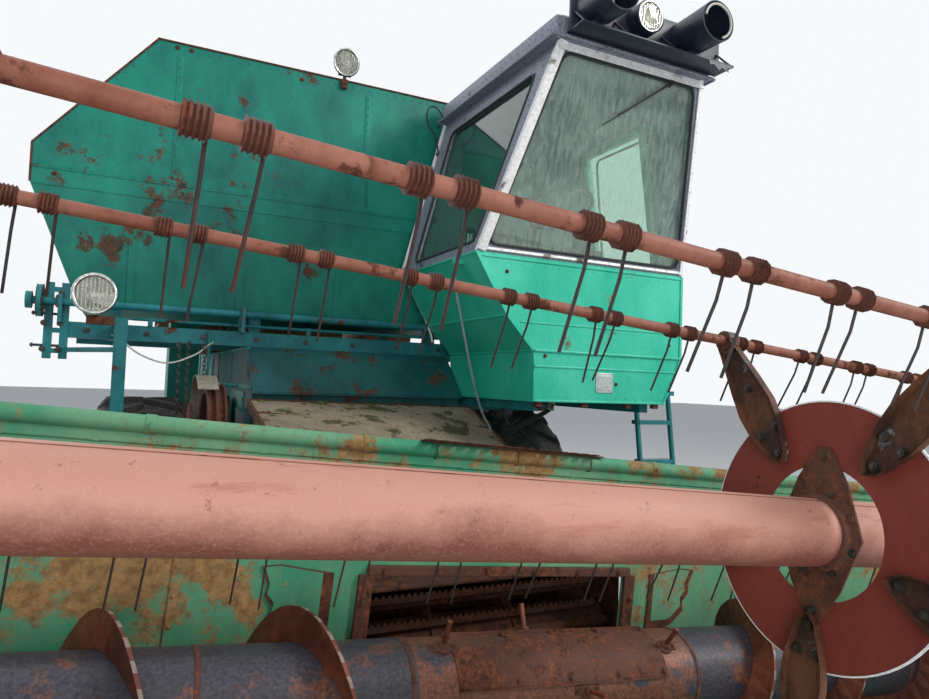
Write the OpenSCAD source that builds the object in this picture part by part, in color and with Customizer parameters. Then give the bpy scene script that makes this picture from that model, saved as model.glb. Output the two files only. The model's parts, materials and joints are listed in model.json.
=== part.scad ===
/* [Machine] */
// Distance from the front axle to the rear axle
wheelbase = 3350; // [3200:10:3500]
// Width of the thresher body
body_w = 1300; // [1260:10:1320]
// Height of the thresher body's flat top above the ground
body_top = 1710; // [1690:10:1730]
// Height of the thresher body's underside above the ground
body_bottom = 940; // [920:10:960]
// Depth of the chassis rails under the body
rail_h = 150; // [120:10:160]
// Length that the straw hood adds behind the body
hood_len = 1450; // [1300:10:1600]
// Thickness of the hollow sheet bodies
sheet = 12; // [8:1:16]

/* [Wheels] */
// Outer diameter of the front drive tyres, at the lug tips
front_d = 1390; // [1340:10:1400]
// Width of the front drive tyres
front_w = 470; // [420:10:490]
// Height of the front tyres' tread bars
front_lug = 34; // [28:1:38]
// Distance between the centres of the front tyres
front_track = 2400; // [2360:10:2500]
// Diameter of the front rims
front_rim_d = 660; // [620:10:700]
// Outer diameter of the rear steered tyres
rear_d = 950; // [900:10:960]
// Width of the rear steered tyres
rear_w = 300; // [260:10:310]
// Height of the rear tyres' tread bars
rear_lug = 20; // [16:1:24]
// Distance between the steering pins of the rear axle
kingpin_span = 1800; // [1780:10:1860]
// Diameter of the rear rims
rear_rim_d = 420; // [400:10:440]

/* [Header] */
// Inside width between the header's side walls
header_w = 5000; // [4900:20:5100]
// Height of the auger's axis over the ground at the middle of the header
auger_z = 560; // [550:5:600]
// Angle by which the header hangs down on the machine's left, as it is parked
header_tilt = 5.2; // [4.8:0.1:5.4]
// Diameter of the auger tube
auger_d = 300; // [280:5:320]
// Diameter over the auger flights
flight_d = 500; // [470:5:510]
// Lead of the auger flights
flight_pitch = 500; // [440:10:560]
// Thickness of the header's wall plates
wall = 25; // [20:1:28]
// Diameter of the pipe along the top of the rear wall
top_pipe_d = 56; // [50:1:64]
// Width of the opening from the header into the feeder
mouth_w = 1100; // [1000:10:1150]

/* [Reel] */
// Radius of the circle that the bats run on
bat_circle_r = 585; // [560:5:600]
// Diameter of the reel's central tube
reel_tube_d = 160; // [140:2:170]
// Outer diameter of a bat tube
bat_d = 28; // [24:1:32]
// Diameter of a tine
tine_d = 7; // [6:0.5:8]
// Reach of a tine from its bat's axis
tine_len = 185; // [160:5:200]
// Distance between neighbouring pairs of tines
pair_pitch = 262; // [250:2:280]
// Outer diameter of the reel's spider discs
disc_d = 640; // [600:10:660]

/* [Cab] */
// Inner wall of the cab at the window sill
cab_x0 = 290; // [280:5:320]
// Outer wall of the cab at the window sill
cab_x1 = 1670; // [1650:5:1690]
// Front of the cab
cab_front = -1350; // [-1370:5:-1330]
// Length of the cab's lower part
cab_len = 1060; // [1020:5:1065]
// Height of the window sill above the ground
sill_z = 2220; // [2200:5:2240]
// Height of the roof's underside above the ground
eave_z = 3270; // [3240:10:3300]
// Thickness of the cab's walls and door
cab_wall = 40; // [35:1:45]
// How far the top of the windscreen leans forward
screen_lean = 300; // [280:5:320]

/* [Grain tank] */
// Front face of the tank
tank_front = -200; // [-215:5:-190]
// Length of the tank along the machine
tank_len = 1150; // [1100:10:1180]
// Height of the tank's rim above the ground
tank_top = 3455; // [3400:5:3480]
// Height of the tank's floor above the ground
tank_bottom = 1890; // [1880:5:1900]
// Diameter of the unloading auger's tube
unload_d = 240; // [220:5:250]
// Length of the unloading auger's tube
unload_len = 2850; // [2600:50:3000]

/* [Hidden] */
$fn = 48;
// Places the middle of the machine's footprint at the origin
centre_x = 42;
centre_y = -50;
// Gap between a pin and its bore
fit = 0.6;
// Gap between plates of one body that lie on each other
lay = 0.3;
// Clearance round a moving piece
free = 6;

// Front wheels and axle
front_x = front_track / 2;
axle_z = front_d / 2;
axle_d = 110;
beam_h = 170;
beam_top = body_bottom - rail_h;
final_r = 165;
// Rear axle
rear_z = rear_d / 2;
kingpin_x = kingpin_span / 2;
kingpin_d = 50;
knuckle_arm = 180;
stub_d = 60;
hub_gap = 22;
rear_x = kingpin_x + 70 + rear_w / 2;
tie_drop = 122;
// Thresher body
body_front = -440;
body_len = 2890;
body_back = body_front + body_len;
hood_back = body_back + hood_len;
slope_foot = 1450;
slope_back = -225;
hood_top = body_top + 330;
// Feeder: its shaft is the hinge that the header is lifted on
shaft_y = -660;
shaft_z = 1240;
feeder_w = body_w;
feeder_front = -2100;
feeder_mouth_z = [275, 775];
feeder_slope = 0.325;
casing_r = 85;
feeder_wall = 10;
shaft_d = 50;
cover_w = feeder_w + 80;
cover_ends = [-540, -1350];
bearing_x = cover_w / 2 + free;
bearing_t = 20;
// Header, in its own frame: x across, y along the machine, z up from the auger's axis
auger_y = -2540;
half_w = header_w / 2;
back_y = -2235;
floor_z = -(flight_d / 2 + 20);
wall_top = 680;
knife_y = -3450;
tilt_pin_z = 310;
tilt_pin_d = 60;
rear_beam = 80;
// Reel
reel_y = -3386;
reel_z = 666;
reel_half = half_w - 75;
bat_half = half_w - 70;
bat_angles = [53, 125, 197, 269, 341];
tine_lean = 19;
coil_d = 1.55 * bat_d;
coil_len = 34;
coil_gap = 65;
pair_offset = -25;
spider_x = [-half_w + 98, 160, half_w - 90];
crank_r = 70;
reel_pivot_y = -2300;
reel_pivot_z = 745;
arm_x = half_w + 100;
arm_w = 60;
reel_base = [-2640, 60];
reel_eye = [-2980, 640];
// Lift cylinders
lift_x = 450;
lift_base = [-190, 600];
lift_eye = [-1500, 440];
lift_barrel = 820;
lift_rod_d = 50;
lift_stroke = 210;
reel_barrel = 430;
reel_rod_d = 34;
reel_stroke = 195;
// Length of a rod that its barrel still holds at full stroke, and the gap round it
rod_hold = 60;
rod_gap = 2;
pin_d = 30;
// A closed linkage is opened at the rod's eye: play along and across the rod, and the eye's bore
lift_play = [1.92, -1.42];
lift_eye_d = 35.4;
reel_play = [1.14, 0.72];
reel_eye_d = 33.3;

module placed() translate([-centre_x, -centre_y, 0]) children();
module at_header() placed() translate([0, 0, auger_z]) rotate([0, header_tilt, 0]) children();
// Extrudes a y-z outline across the machine, centred on x0
module across(w, x0 = 0) translate([x0, 0, 0]) rotate([90, 0, 90]) linear_extrude(w, center = true) children();
// Extrudes an x-z outline along the machine from y0
module along(len, y0) translate([0, y0 + len, 0]) rotate([90, 0, 0]) linear_extrude(len) children();
// A round bar across the machine between two x values
module rod_x(d, x0, x1, y, z, fn = 48) translate([min(x0, x1), y, z]) rotate([0, 90, 0])
    cylinder(d = d, h = abs(x1 - x0), $fn = fn);
module rod_y(d, y0, y1, x, z, fn = 48) translate([x, max(y0, y1), z]) rotate([90, 0, 0])
    cylinder(d = d, h = abs(y1 - y0), $fn = fn);
module rod_z(d, z0, z1, x, y, fn = 48) translate([x, y, min(z0, z1)]) cylinder(d = d, h = abs(z1 - z0), $fn = fn);
// A round bar from point a to point b
module strut(d, a, b, fn = 24) {
    v = b - a;
    translate(a) rotate([0, acos(v.z / norm(v)), atan2(v.y, v.x)]) cylinder(d = d, h = norm(v), $fn = fn);
}
// A box from its low corner to its high corner
module box(a, b) translate(a) cube(b - a);
module both_sides() { children(); mirror([1, 0, 0]) children(); }

// Chassis
rail_w = 100;
module rails() both_sides()
    box([body_w / 2 - rail_w, body_front + 40, beam_top], [body_w / 2, hood_back - 60, body_bottom - lay]);
module hitch() difference() {
    union() {
        box([-body_w / 2 + rail_w, hood_back - 160, beam_top], [body_w / 2 - rail_w, hood_back - 60, beam_top + 100]);
        box([-60, hood_back - 60, beam_top + 20], [60, hood_back + 90, beam_top + 45]);
        box([-60, hood_back - 60, beam_top - 45], [60, hood_back + 90, beam_top - 20]);
        box([-60, hood_back - 100, beam_top - 45], [60, hood_back - 60, beam_top + 45]);
    }
    rod_z(hitch_pin_d, beam_top - 80, beam_top + 80, 0, hood_back + 45);
}
hitch_pin_d = 32;
module chassis() color("#1b5f56") placed() {
    union() {
        rails();
        for (y = [body_front + 60, 700, 1500])
            box([-body_w / 2 + rail_w, y, beam_top], [body_w / 2 - rail_w, y + 80, beam_top + 70]);
        hitch();
    }
}
module front_axle() color("#2a4f49") placed() difference() {
    union() {
        box([-front_x + front_w / 2 - 60, -90, beam_top - beam_h], [front_x - front_w / 2 + 60, 90, beam_top - lay]);
        both_sides() {
            rod_x(2 * final_r, front_x - front_w / 2 - 200, front_x - front_w / 2 - hub_gap, 0, axle_z);
            rod_x(axle_d, front_x - front_w / 2 - hub_gap, front_x + 40, 0, axle_z);
        }
        // Lugs that the lift cylinders stand on
        for (x = [-lift_x, lift_x], s = [-1, 1]) across(14, x + s * 37)
            polygon([[-80, 625], [-80, 560], [lift_base.x - 25, 570], [lift_base.x - 25, 630], [-80, 700]]);
    }
    for (x = [-lift_x, lift_x]) rod_x(pin_d + fit, x - 60, x + 60, lift_base.x, lift_base.y);
}
module rear_axle() color("#2a4f49") placed() translate([0, wheelbase, 0]) difference() {
    union() {
        box([-kingpin_x, -60, rear_z - 60], [kingpin_x, 60, rear_z + 60]);
        both_sides() rod_z(110, rear_z - 75, rear_z + 75, kingpin_x, 0);
        both_sides() box([body_w / 2 - rail_w, -120, rear_z + 60], [body_w / 2 - 30, 120, beam_top - lay]);
    }
    both_sides() rod_z(kingpin_d + fit, rear_z - 100, rear_z + 100, kingpin_x, 0);
}

// Wheels. A tyre's section is turned about its axis, and z is the axle
bar_lean = 36;
module turned() rotate([0, 90, 0]) rotate_extrude($fn = 96) children();
// The tread bars lean back from the middle, left and right in turn, fused to the casing
module tyre(d, w, rim, lug, n) union() {
    turned() difference() {
        polygon([[rim / 2 + 4, -w * 0.36], [d * 0.44, -w / 2], [d * 0.475 - lug * 0.7, -w * 0.49], [d / 2 - lug, -w * 0.42],
            [d / 2 - lug, w * 0.42], [d * 0.475 - lug * 0.7, w * 0.49], [d * 0.44, w / 2], [rim / 2 + 4, w * 0.36]]);
        translate([0, -w * 0.3]) square([rim / 2 + 20, w * 0.6]);
    }
    intersection() {
        for (i = [0 : n - 1], s = [-1, 1]) rotate([(i + s / 4) * 360 / n, 0, 0])
            translate([s * w * 0.24, 0, 0]) rotate([0, 0, s * bar_lean])
                box([-w * 0.28, -lug * 0.55, -d / 2 - 5], [w * 0.28, lug * 0.55, -d * 0.44 + lug]);
        turned() polygon([[d * 0.40, -w / 2 + 1], [d * 0.455, -w / 2 + 1], [d / 2, -w * 0.40], [d / 2, w * 0.40],
            [d * 0.455, w / 2 - 1], [d * 0.40, w / 2 - 1]]);
    }
}
module rim(w, d, hub_d, bore) difference() {
    turned() polygon([[d / 2 - 30, -w * 0.36], [d / 2 + 3.4, -w * 0.36], [d / 2 + 3.4, -w * 0.30 + 1],
        [d / 2 + 19, -w * 0.30 + 1], [d / 2 + 19, w * 0.30 - 1], [d / 2 + 3.4, w * 0.30 - 1],
        [d / 2 + 3.4, w * 0.36], [d / 2 - 30, w * 0.36], [d / 2 - 16, w * 0.2], [hub_d / 2, w * 0.14],
        [hub_d / 2, w * 0.26], [0, w * 0.26], [0, -w * 0.12], [hub_d / 2, -w * 0.12],
        [hub_d / 2, w * 0.08], [d / 2 - 16, w * 0.10]]);
    rod_x(bore + fit, -w, w * 0.16, 0, 0);
    for (a = [0 : 60 : 300]) rotate([a, 0, 0]) rod_x(d * 0.13, -w, w, 0, d * 0.33);
}
module front_wheel_place(s) placed() translate([s * front_x, 0, axle_z]) mirror([s < 0 ? 1 : 0, 0, 0]) children();
module front_tyre(s) color("#2b2b2b") front_wheel_place(s) tyre(front_d, front_w, front_rim_d, front_lug, 20);
module front_rim(s) color("#b9a23c") front_wheel_place(s) rim(front_w, front_rim_d, 260, axle_d);
module rear_wheel_place(s) placed() translate([s * rear_x, wheelbase, rear_z]) mirror([s < 0 ? 1 : 0, 0, 0]) children();
module rear_tyre(s) color("#2b2b2b") rear_wheel_place(s) tyre(rear_d, rear_w, rear_rim_d, rear_lug, 18);
module rear_rim(s) color("#b9a23c") rear_wheel_place(s) rim(rear_w, rear_rim_d, 160, stub_d);
// The knuckle's yoke holds the pin above and below the beam's eye
module knuckle(s) color("#3d3a36") placed() mirror([s < 0 ? 1 : 0, 0, 0]) translate([kingpin_x, wheelbase, rear_z]) union() {
    rod_z(kingpin_d, -110, 110, 0, 0);
    for (z = [-100, 78]) rod_z(100, z, z + 22, 0, 0);
    rod_x(stub_d, 56, 70 + rear_w * 0.5, 0, 0);
    for (z = [-100, 78]) box([0, -40, z], [66, 40, z + 22]);
    box([57, -45, -100], [66, 45, 100]);
    box([-22, 20, -100], [22, knuckle_arm + 22, -80]);
    rod_z(pin_d, -tie_drop - 18, -80, 0, knuckle_arm);
}
module tie_rod() color("#4a4640") placed() translate([0, wheelbase + knuckle_arm, rear_z]) difference() {
    union() {
        rod_x(30, -kingpin_x + 20, kingpin_x - 20, 0, -tie_drop);
        both_sides() rod_z(60, -tie_drop - 15, -tie_drop + 15, kingpin_x, 0);
    }
    both_sides() rod_z(pin_d + fit, -tie_drop - 30, -tie_drop + 30, kingpin_x, 0);
}

// Thresher body: one closed box whose front is cut for the feeder
module thresher_body() color("#17806a") placed() {
    across(body_w) polygon([[body_front, body_bottom], [body_front, slope_foot - 15], [body_front - 50, slope_foot - 15],
        [body_front - 50, slope_foot], [slope_back, body_top - lay], [body_back - lay, body_top - lay],
        [body_back - lay, body_bottom]]);
    // Bearings of the feeder's shaft, on plates beside the feeder
    both_sides() difference() {
        union() {
            across(bearing_t, bearing_x + bearing_t / 2) polygon([[shaft_y - 75, shaft_z - 75], [shaft_y - 75, shaft_z + 75],
                [body_front + 120, shaft_z + 115], [body_front + 120, shaft_z - 140]]);
            box([body_w / 2 - 5, body_front + 20, shaft_z - 110], [bearing_x + 1, body_front + 120, shaft_z + 110]);
        }
        rod_x(shaft_d + fit, bearing_x - 1, bearing_x + bearing_t + 1, shaft_y, shaft_z);
    }
}
// Hood over the straw walkers: open at the back, and open to the ground under the walkers
module straw_hood() color("#17806a") placed() difference() {
    across(body_w) polygon([[body_back, body_bottom], [body_back, body_top], [body_back + 250, hood_top],
        [hood_back - 200, hood_top], [hood_back, hood_top - 160], [hood_back, body_bottom + 330],
        [hood_back - 260, body_bottom]]);
    across(body_w - 2 * sheet) polygon([[body_back + sheet, body_bottom - 1], [body_back + sheet, body_top - sheet],
        [body_back + 255, hood_top - sheet], [hood_back - 205, hood_top - sheet], [hood_back + 1, hood_top - 160 - sheet],
        [hood_back + 1, body_bottom - 1]]);
}
walker_n = 4;
walker_w = (body_w - 2 * sheet - 100) / walker_n;
// Four stepped racks, each open at the top, at slightly different heights as their cranks hold them
module straw_walkers() color("#8a7f70") placed() {
    for (i = [0 : walker_n - 1])
        across(walker_w - 40, (i - (walker_n - 1) / 2) * (walker_w + 10)) translate([0, i % 2 * 60])
            polygon([[body_back + sheet + lay, 1330], [body_back + sheet + lay, 1450], [body_back + 300, 1490],
                [body_back + 300, 1430], [body_back + 640, 1520], [body_back + 640, 1450], [hood_back - 330, 1540],
                [hood_back - 330, 1400]]);
    for (y = [body_back + 350, hood_back - 420])
        rod_x(45, -body_w / 2 + sheet, body_w / 2 - sheet, y, 1450);
}
shoe_w = body_w - 2 * rail_w - 20;
shoe_front = 870;
shoe_back = body_back + 700;
module cleaning_shoe() color("#b9863c") placed() {
    difference() {
        across(shoe_w) polygon([[shoe_front, 560], [shoe_front, beam_top - 10], [shoe_back, beam_top - 10],
            [shoe_back, 620], [shoe_back - 500, 620], [shoe_front + 900, 540]]);
        across(shoe_w - 2 * sheet) polygon([[shoe_back - 700, 640], [shoe_back - 700, beam_top - 10 - sheet],
            [shoe_back + 1, beam_top - 10 - sheet], [shoe_back + 1, 640]]);
    }
    // Louvres of the upper sieve, seen from behind
    for (i = [0 : 5])
        across(shoe_w - 2 * sheet) translate([shoe_back - 90 - i * 100, 700]) rotate(30) square([60, 6]);
    // Hangers up to the rails
    both_sides() for (y = [shoe_front + 150, shoe_back - 300])
        box([body_w / 2 - rail_w - 10, y, beam_top - 160], [body_w / 2 - rail_w - lay, y + 60, beam_top + 40]);
    // Fan housing in front of the shoe
    rod_x(470, -body_w / 2 + rail_w + 30, body_w / 2 - rail_w - 30, shoe_front - 215, 545);
}

// Grain tank
tank_x0 = -1810;
tank_x1 = 1610;
tank_crease = 2527;
shoulder_z = 2740;
tank_back = tank_front + tank_len;
module tank_form(inset) {
    hull() {
        along(tank_len - 2 * inset, tank_front + inset) polygon([[tank_x0 + inset, tank_crease], [tank_x0 + inset, shoulder_z],
            [tank_x0 + 585 + inset * 0.6, tank_top + (inset > 0 ? 1 : 0)], [tank_x1 - 585 - inset * 0.6, tank_top + (inset > 0 ? 1 : 0)],
            [tank_x1 - inset, shoulder_z], [tank_x1 - inset, tank_crease]]);
        box([tank_x0 + 256 + inset, tank_front + 110 + inset, tank_bottom + inset],
            [tank_x1 - 256 - inset, tank_back - 110 - inset, tank_bottom + inset + 1]);
    }
}
module grain_tank() color("#17806a") placed() {
    difference() { tank_form(0); tank_form(20); }
}
unload_x = 1420;
unload_y = tank_back + unload_d / 2 + 60;
unload_z = 2760;
spout_drop = 260;
beam_z0 = body_top;
beam_z1 = body_top + 85;
post_x = -1362;
post_y = -760;
side_frame_x = [tank_x0 + 105, tank_x0 + 180];
side_frame_z = [1590, 2000];
module tank_frame() color("#1f8a7a") placed() {
    difference() {
        union() {
            for (y = [tank_front, tank_back - 190]) {
                box([tank_x0 + 210, y, beam_z0], [tank_x1 - 350, y + 90, beam_z1]);
                for (x = [-1400, -620, 560, 1150]) box([x, y + 120, beam_z0], [x + 60, y + 180, tank_bottom - lay]);
                for (x = [-1400, -620, 560, 1150]) box([x, y + 90, beam_z0], [x + 60, y + 120, beam_z1]);
            }
            // Post in front of the right wheel, tied to the beam above and to a bracket below
            box([post_x, post_y, 720], [post_x + 60, post_y + 30, beam_z1]);
            box([post_x, post_y + 30, beam_z0], [post_x + 60, tank_front, beam_z1]);
            box([post_x, post_y, 690], [-body_w / 2 - 130, post_y + 50, 740]);
            box([-body_w / 2 - 180, post_y, 690], [-body_w / 2 - 130, -180, 740]);
            box([-body_w / 2 - 180, -230, 690], [-body_w / 2 - lay, -180, 740]);
            box([-body_w / 2 - 60, -230, 740], [-body_w / 2 - lay, -180, 960]);
            // Side frame at the beam's right end, its tie to the post, and the pipe down to the feeder's drive
            for (x = side_frame_x) box([x, tank_front - 15, side_frame_z[0]], [x + 40, tank_front + 15, side_frame_z[1]]);
            for (z = [side_frame_z[0] + 30, beam_z0 + 20, side_frame_z[1] - 50])
                box([side_frame_x[0], tank_front - 12, z], [side_frame_x[1] + 1, tank_front + 12, z + 26]);
            strut(26, [side_frame_x[1] + 20, tank_front - 5, side_frame_z[0] + 50],
                [post_x + 20, post_y + 20, side_frame_z[0] + 50]);
            rod_z(unload_d, beam_z0 + 40, unload_z - 170, unload_x, unload_y);
            rod_y(unload_d, tank_back - 70, unload_y, unload_x - 100, beam_z0 + 180 - 10);
        }
        box([tank_x0, tank_front + 110 - lay, tank_bottom - lay], [tank_x1 - 200, tank_back - 110 + lay, tank_top]);
    }
    // Bearings of the shaft in front of the tank
    for (x = shaft2_bearings) difference() {
        box([x, shaft2_y - 35, beam_z1 - 10], [x + 20, tank_front + 60, shaft2_z + 40]);
        rod_x(shaft2_d + fit, x - 1, x + 21, shaft2_y, shaft2_z);
    }
    // Beams that carry the cab
    for (x = [cab_x0 + 400, cab_x1 - 250]) box([x, cab_front + 60, 1400], [x + 60, -210, 1450 - lay]);
    box([body_w / 2, -300, 1360], [cab_x1 - 190, -210, 1400]);
}
shaft2_y = tank_front - 45;
shaft2_z = 1895;
shaft2_d = 42;
shaft2_bearings = [-1640, -700, 500];
module tank_shaft() color("#4f8f93") placed() {
    rod_x(shaft2_d, -1760, 640, shaft2_y, shaft2_z);
    rod_x(170, -1735, -1715, shaft2_y, shaft2_z, 24);
    rod_x(90, -1790, -1760, shaft2_y, shaft2_z);
}

// Engine, with what stands round it
engine_x0 = -560;
engine_x1 = 420;
engine_y0 = 1500;
engine_y1 = 2260;
engine_z = 2480;
module engine_block() color("#8c5a33") placed()
    box([engine_x0, engine_y0, body_top], [engine_x1, engine_y1, engine_z]);
module engine_fittings() color("#7a4a35") placed() {
    // Radiator and its dust box
    difference() {
        box([-1080, engine_y0 - 20, body_top + 100], [engine_x0 - 60, engine_y1 - 60, engine_z + 60]);
        box([-1081, engine_y0 + 30, body_top + 150], [engine_x0 - 110, engine_y1 - 110, engine_z + 10]);
    }
    for (z = [body_top + 210 : 60 : engine_z - 20]) box([-1075, engine_y0 + 30, z], [-1063, engine_y1 - 110, z + 12]);
    box([-900, engine_y0 + 60, body_top + lay], [-body_w / 2 + 60, engine_y1 - 140, body_top + 100]);
    // Exhaust silencer and pipe
    rod_z(76, engine_z, engine_z + 240, 60, engine_y0 + 260);
    rod_z(190, engine_z + 240, engine_z + 720, 60, engine_y0 + 260);
    rod_z(70, engine_z + 720, engine_z + 920, 60, engine_y0 + 260);
    // Air cleaner
    rod_z(230, engine_z + 60, engine_z + 420, -300, engine_y0 + 300);
    rod_z(80, engine_z, engine_z + 60, -300, engine_y0 + 300);
    rod_z(300, engine_z + 420, engine_z + 470, -300, engine_y0 + 300);
    // Fuel tank on the left of the deck
    rod_y(460, engine_y0 + 50, engine_y1 + 100, 860, body_top + 250);
    for (y = [engine_y0 + 150, engine_y1 - 60]) difference() {
        box([560, y, body_top], [1050, y + 50, body_top + 130]);
        rod_y(461, y - 10, y + 60, 860, body_top + 250);
    }
}

// Clean grain and tailings elevators on the right of the body
module leg(a, b, w, x0, x1) across(x1 - x0, (x0 + x1) / 2) {
    v = (b - a) / norm(b - a);
    n = [-v.y, v.x] * w / 2;
    polygon([a - n, b - n, b + n, a + n]);
}
elev_grain = [body_w / 2 + 150, body_w / 2 + 360];
elev_tail = [body_w / 2 + 30, body_w / 2 + 210];
module elevators() color("#1c7a68") placed() {
    leg([1350, 620], [1180, 2330], 330, -elev_grain[1], -elev_grain[0]);
    rod_x(330, -elev_grain[1], -elev_grain[0], 1350, 620);
    rod_x(330, -elev_grain[1], -elev_grain[0], 1180, 2330);
    box([-elev_grain[0], 1280, 560], [-shoe_w / 2 - lay, 1420, 700]);
    leg([2050, 600], [1900, 1440], 240, -elev_tail[1], -elev_tail[0]);
    rod_x(240, -elev_tail[1], -elev_tail[0], 2050, 600);
    box([-elev_tail[0], 1860, 1330], [-body_w / 2 - lay, 1980, 1450]);
}

// Belt drives on the body's sides. Columns: side, along the machine, height, diameter, width, gap from the wall
pulleys = [
    [1, 200, 1240, 500, 75, 48], [1, 1150, 1120, 620, 85, 38], [1, 2210, 1300, 420, 50, 60], [1, 1700, 850, 240, 30, 38],
    [-1, 200, 1240, 330, 60, 40], [-1, 1130, 1120, 400, 70, 30], [-1, 640, 870, 200, 40, 25]];
// Columns: first pulley, second pulley, distance of the belt from the wall
belts = [[0, 1, 108], [1, 2, 82], [1, 3, 53], [4, 5, 84], [5, 6, 44]];
belt_w = 22;
belt_t = 9;
// A belt's outline round two pulleys, in chords that clear their rims: r1 at the origin, r2 at x = len
belt_chords = 16;
function chords(c, r, from, to) = [for (i = [0 : belt_chords]) let (t = from + (to - from) * i / belt_chords)
    c + r / cos((to - from) / belt_chords / 2) * [cos(t), sin(t)]];
module belt_loop(r1, r2, len, a) polygon(concat(chords([0, 0], r1, a, 360 - a), chords([len, 0], r2, -a, a)));
// A pulley's section: a hub, a web and a flat rim, with x from the wall side outwards
module pulley(d, w) translate([w / 2, 0, 0]) turned() polygon([[0, -w / 2 - 15], [45, -w / 2 - 15], [45, -w * 0.12],
    [d / 2 - 25, -w * 0.12], [d / 2 - 25, -w / 2], [d / 2, -w / 2], [d / 2, w / 2], [d / 2 - 25, w / 2],
    [d / 2 - 25, w * 0.12], [45, w * 0.12], [45, w / 2 + 15], [0, w / 2 + 15]]);
module side_drives() color("#3c4a44") placed() {
    for (p = pulleys) mirror([p[0] < 0 ? 1 : 0, 0, 0]) {
        translate([body_w / 2 + p[5], p[1], p[2]]) pulley(p[3], p[4]);
        rod_x(40, body_w / 2 + lay, body_w / 2 + p[5] + p[4] + 30, p[1], p[2]);
        rod_x(110, body_w / 2 + lay, body_w / 2 + 16, p[1], p[2]);
    }
    for (b = belts) {
        p = pulleys[b[0]];
        q = pulleys[b[1]];
        v = [q[1] - p[1], q[2] - p[2]];
        a = acos((p[3] - q[3]) / 2 / norm(v));
        mirror([p[0] < 0 ? 1 : 0, 0, 0]) across(belt_w, body_w / 2 + b[2])
            translate([p[1], p[2]]) rotate(atan2(v.y, v.x)) difference() {
            belt_loop(p[3] / 2 + lay + belt_t, q[3] / 2 + lay + belt_t, norm(v), a);
            belt_loop(p[3] / 2 + lay, q[3] / 2 + lay, norm(v), a);
        }
    }
}

// Hoses and the control cable: a smooth curve through the route's points, swept as a tube
base_bottom = 1450;
hose_d = 28;
cable_d = 14;
cable_top = [275, -1130, 2180];
cable_foot = [630, -930, 1262];
cable_route = [cable_top, [277, -1125, 2100], [300, -1105, 2010], [345, -1080, 1880], [405, -1055, 1690], [475, -1020, 1500],
    [550, -980, 1360], [615, -940, 1290], cable_foot];
// From the cab's underside, forwards and down, and back to the axle's front
hose_1_route = [[800, -750, base_bottom - lay], [802, -752, 1400], [834, -800, 1290], [865, -1000, 1215], [885, -1170, 1100],
    [875, -1200, 960], [820, -1020, 780], [720, -600, 690], [640, -280, 690], [600, -150, 700], [600, -90 - lay, 700]];
hose_2_route = [[900, -1150, base_bottom - lay], [888, -1142, 1400], [805, -950, 1290], [768, -800, 1200], [755, -640, 1060],
    [740, -470, 880], [690, -330, 780], [668, -180, 742], [668, -90 - lay, 740]];
function curve_point(p, i, t) = let (n = len(p) - 1, a = p[max(0, i - 1)], b = p[i], c = p[i + 1], d = p[min(n, i + 2)])
    0.5 * (2 * b + (c - a) * t + (2 * a - 5 * b + 4 * c - d) * t * t + (3 * b - a - 3 * c + d) * t * t * t);
function curve(p, step) = [for (i = [0 : len(p) - 2]) let (m = max(1, round(norm(p[i + 1] - p[i]) / step)))
    for (j = [0 : m - 1]) curve_point(p, i, j / m), p[len(p) - 1]];
// The ends are square to the plate that they meet
module tube(route, d, ends, sides = 10) {
    p = curve(route, 2.6 * d);
    n = len(p) - 1;
    rings = [for (i = [0 : n]) let (v = i == 0 ? ends[0] : i == n ? ends[1] : p[i + 1] - p[i - 1], t = v / norm(v),
        u = cross(t, [1, 0.05, 0]), a = u / norm(u), b = cross(t, a))
        for (k = [0 : sides - 1]) p[i] + d / 2 * (a * cos(k * 360 / sides) + b * sin(k * 360 / sides))];
    polyhedron(rings, concat([[for (k = [0 : sides - 1]) k]],
        [for (i = [0 : n - 1], k = [0 : sides - 1]) [i * sides + (k + 1) % sides, i * sides + k,
            (i + 1) * sides + k, (i + 1) * sides + (k + 1) % sides]],
        [[for (k = [sides - 1 : -1 : 0]) n * sides + k]]), convexity = 8);
}
module hydraulic_hose(route) color("#17181a") placed() tube(route, hose_d, [[0, 0, -1], [0, 1, 0]]);
module control_cable() color("#8e9ba5") placed() tube(cable_route, cable_d, [[0, 0, -1], [0, 0, -1]]);

// Cab
cab_back = cab_front + cab_len;
floor_z0 = 1725;
floor_top = floor_z0 + 40;
roof_x0 = cab_x0 + 270;
roof_x1 = cab_x1 - 160;
door_y0 = cab_front + 150;
door_y1 = cab_back - 230;
module cab_outline(inset) polygon([[body_w / 2 + 10 + inset, base_bottom + inset], [cab_x1 - 130 - inset, base_bottom + inset],
    [cab_x1 - 40 - inset, 1620], [cab_x1 - inset, floor_z0], [cab_x1 - inset, sill_z + 1], [cab_x0 + inset, sill_z + 1],
    [480 + inset, 1905], [body_w / 2 - 5 + inset, floor_z0], [body_w / 2 + free + inset, 1620]]);
module cab_base() {
    cab_tub();
    cab_hinges();
    // Clip that the control cable hangs from
    color("#3fbf9f") placed()
        box([cable_top.x - 15, cable_top.y - 15, cable_top.z + lay], [cab_x0 + 30, cable_top.y + 15, cable_top.z + 26]);
}
module cab_tub() color("#3fbf9f") placed() difference() {
    along(cab_len, cab_front) cab_outline(0);
    // The room above the floor
    difference() {
        along(cab_len - 2 * cab_wall, cab_front + cab_wall) cab_outline(cab_wall);
        box([0, cab_front, 0], [cab_x1 + 10, cab_back, floor_top]);
    }
    box([cab_x0 - 5, cab_front - 5, sill_z], [cab_x1 + 5, cab_back + 5, sill_z + 10]);
    // The lower part of the doorway
    box([cab_x1 - cab_wall - 10, door_y0, floor_z0 + 60], [cab_x1 + 10, door_y1, sill_z + 5]);
}
hinge_z = [floor_z0 + 130, sill_z - 90];
hinge_h = 60;
hinge_pin = 10;
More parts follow.
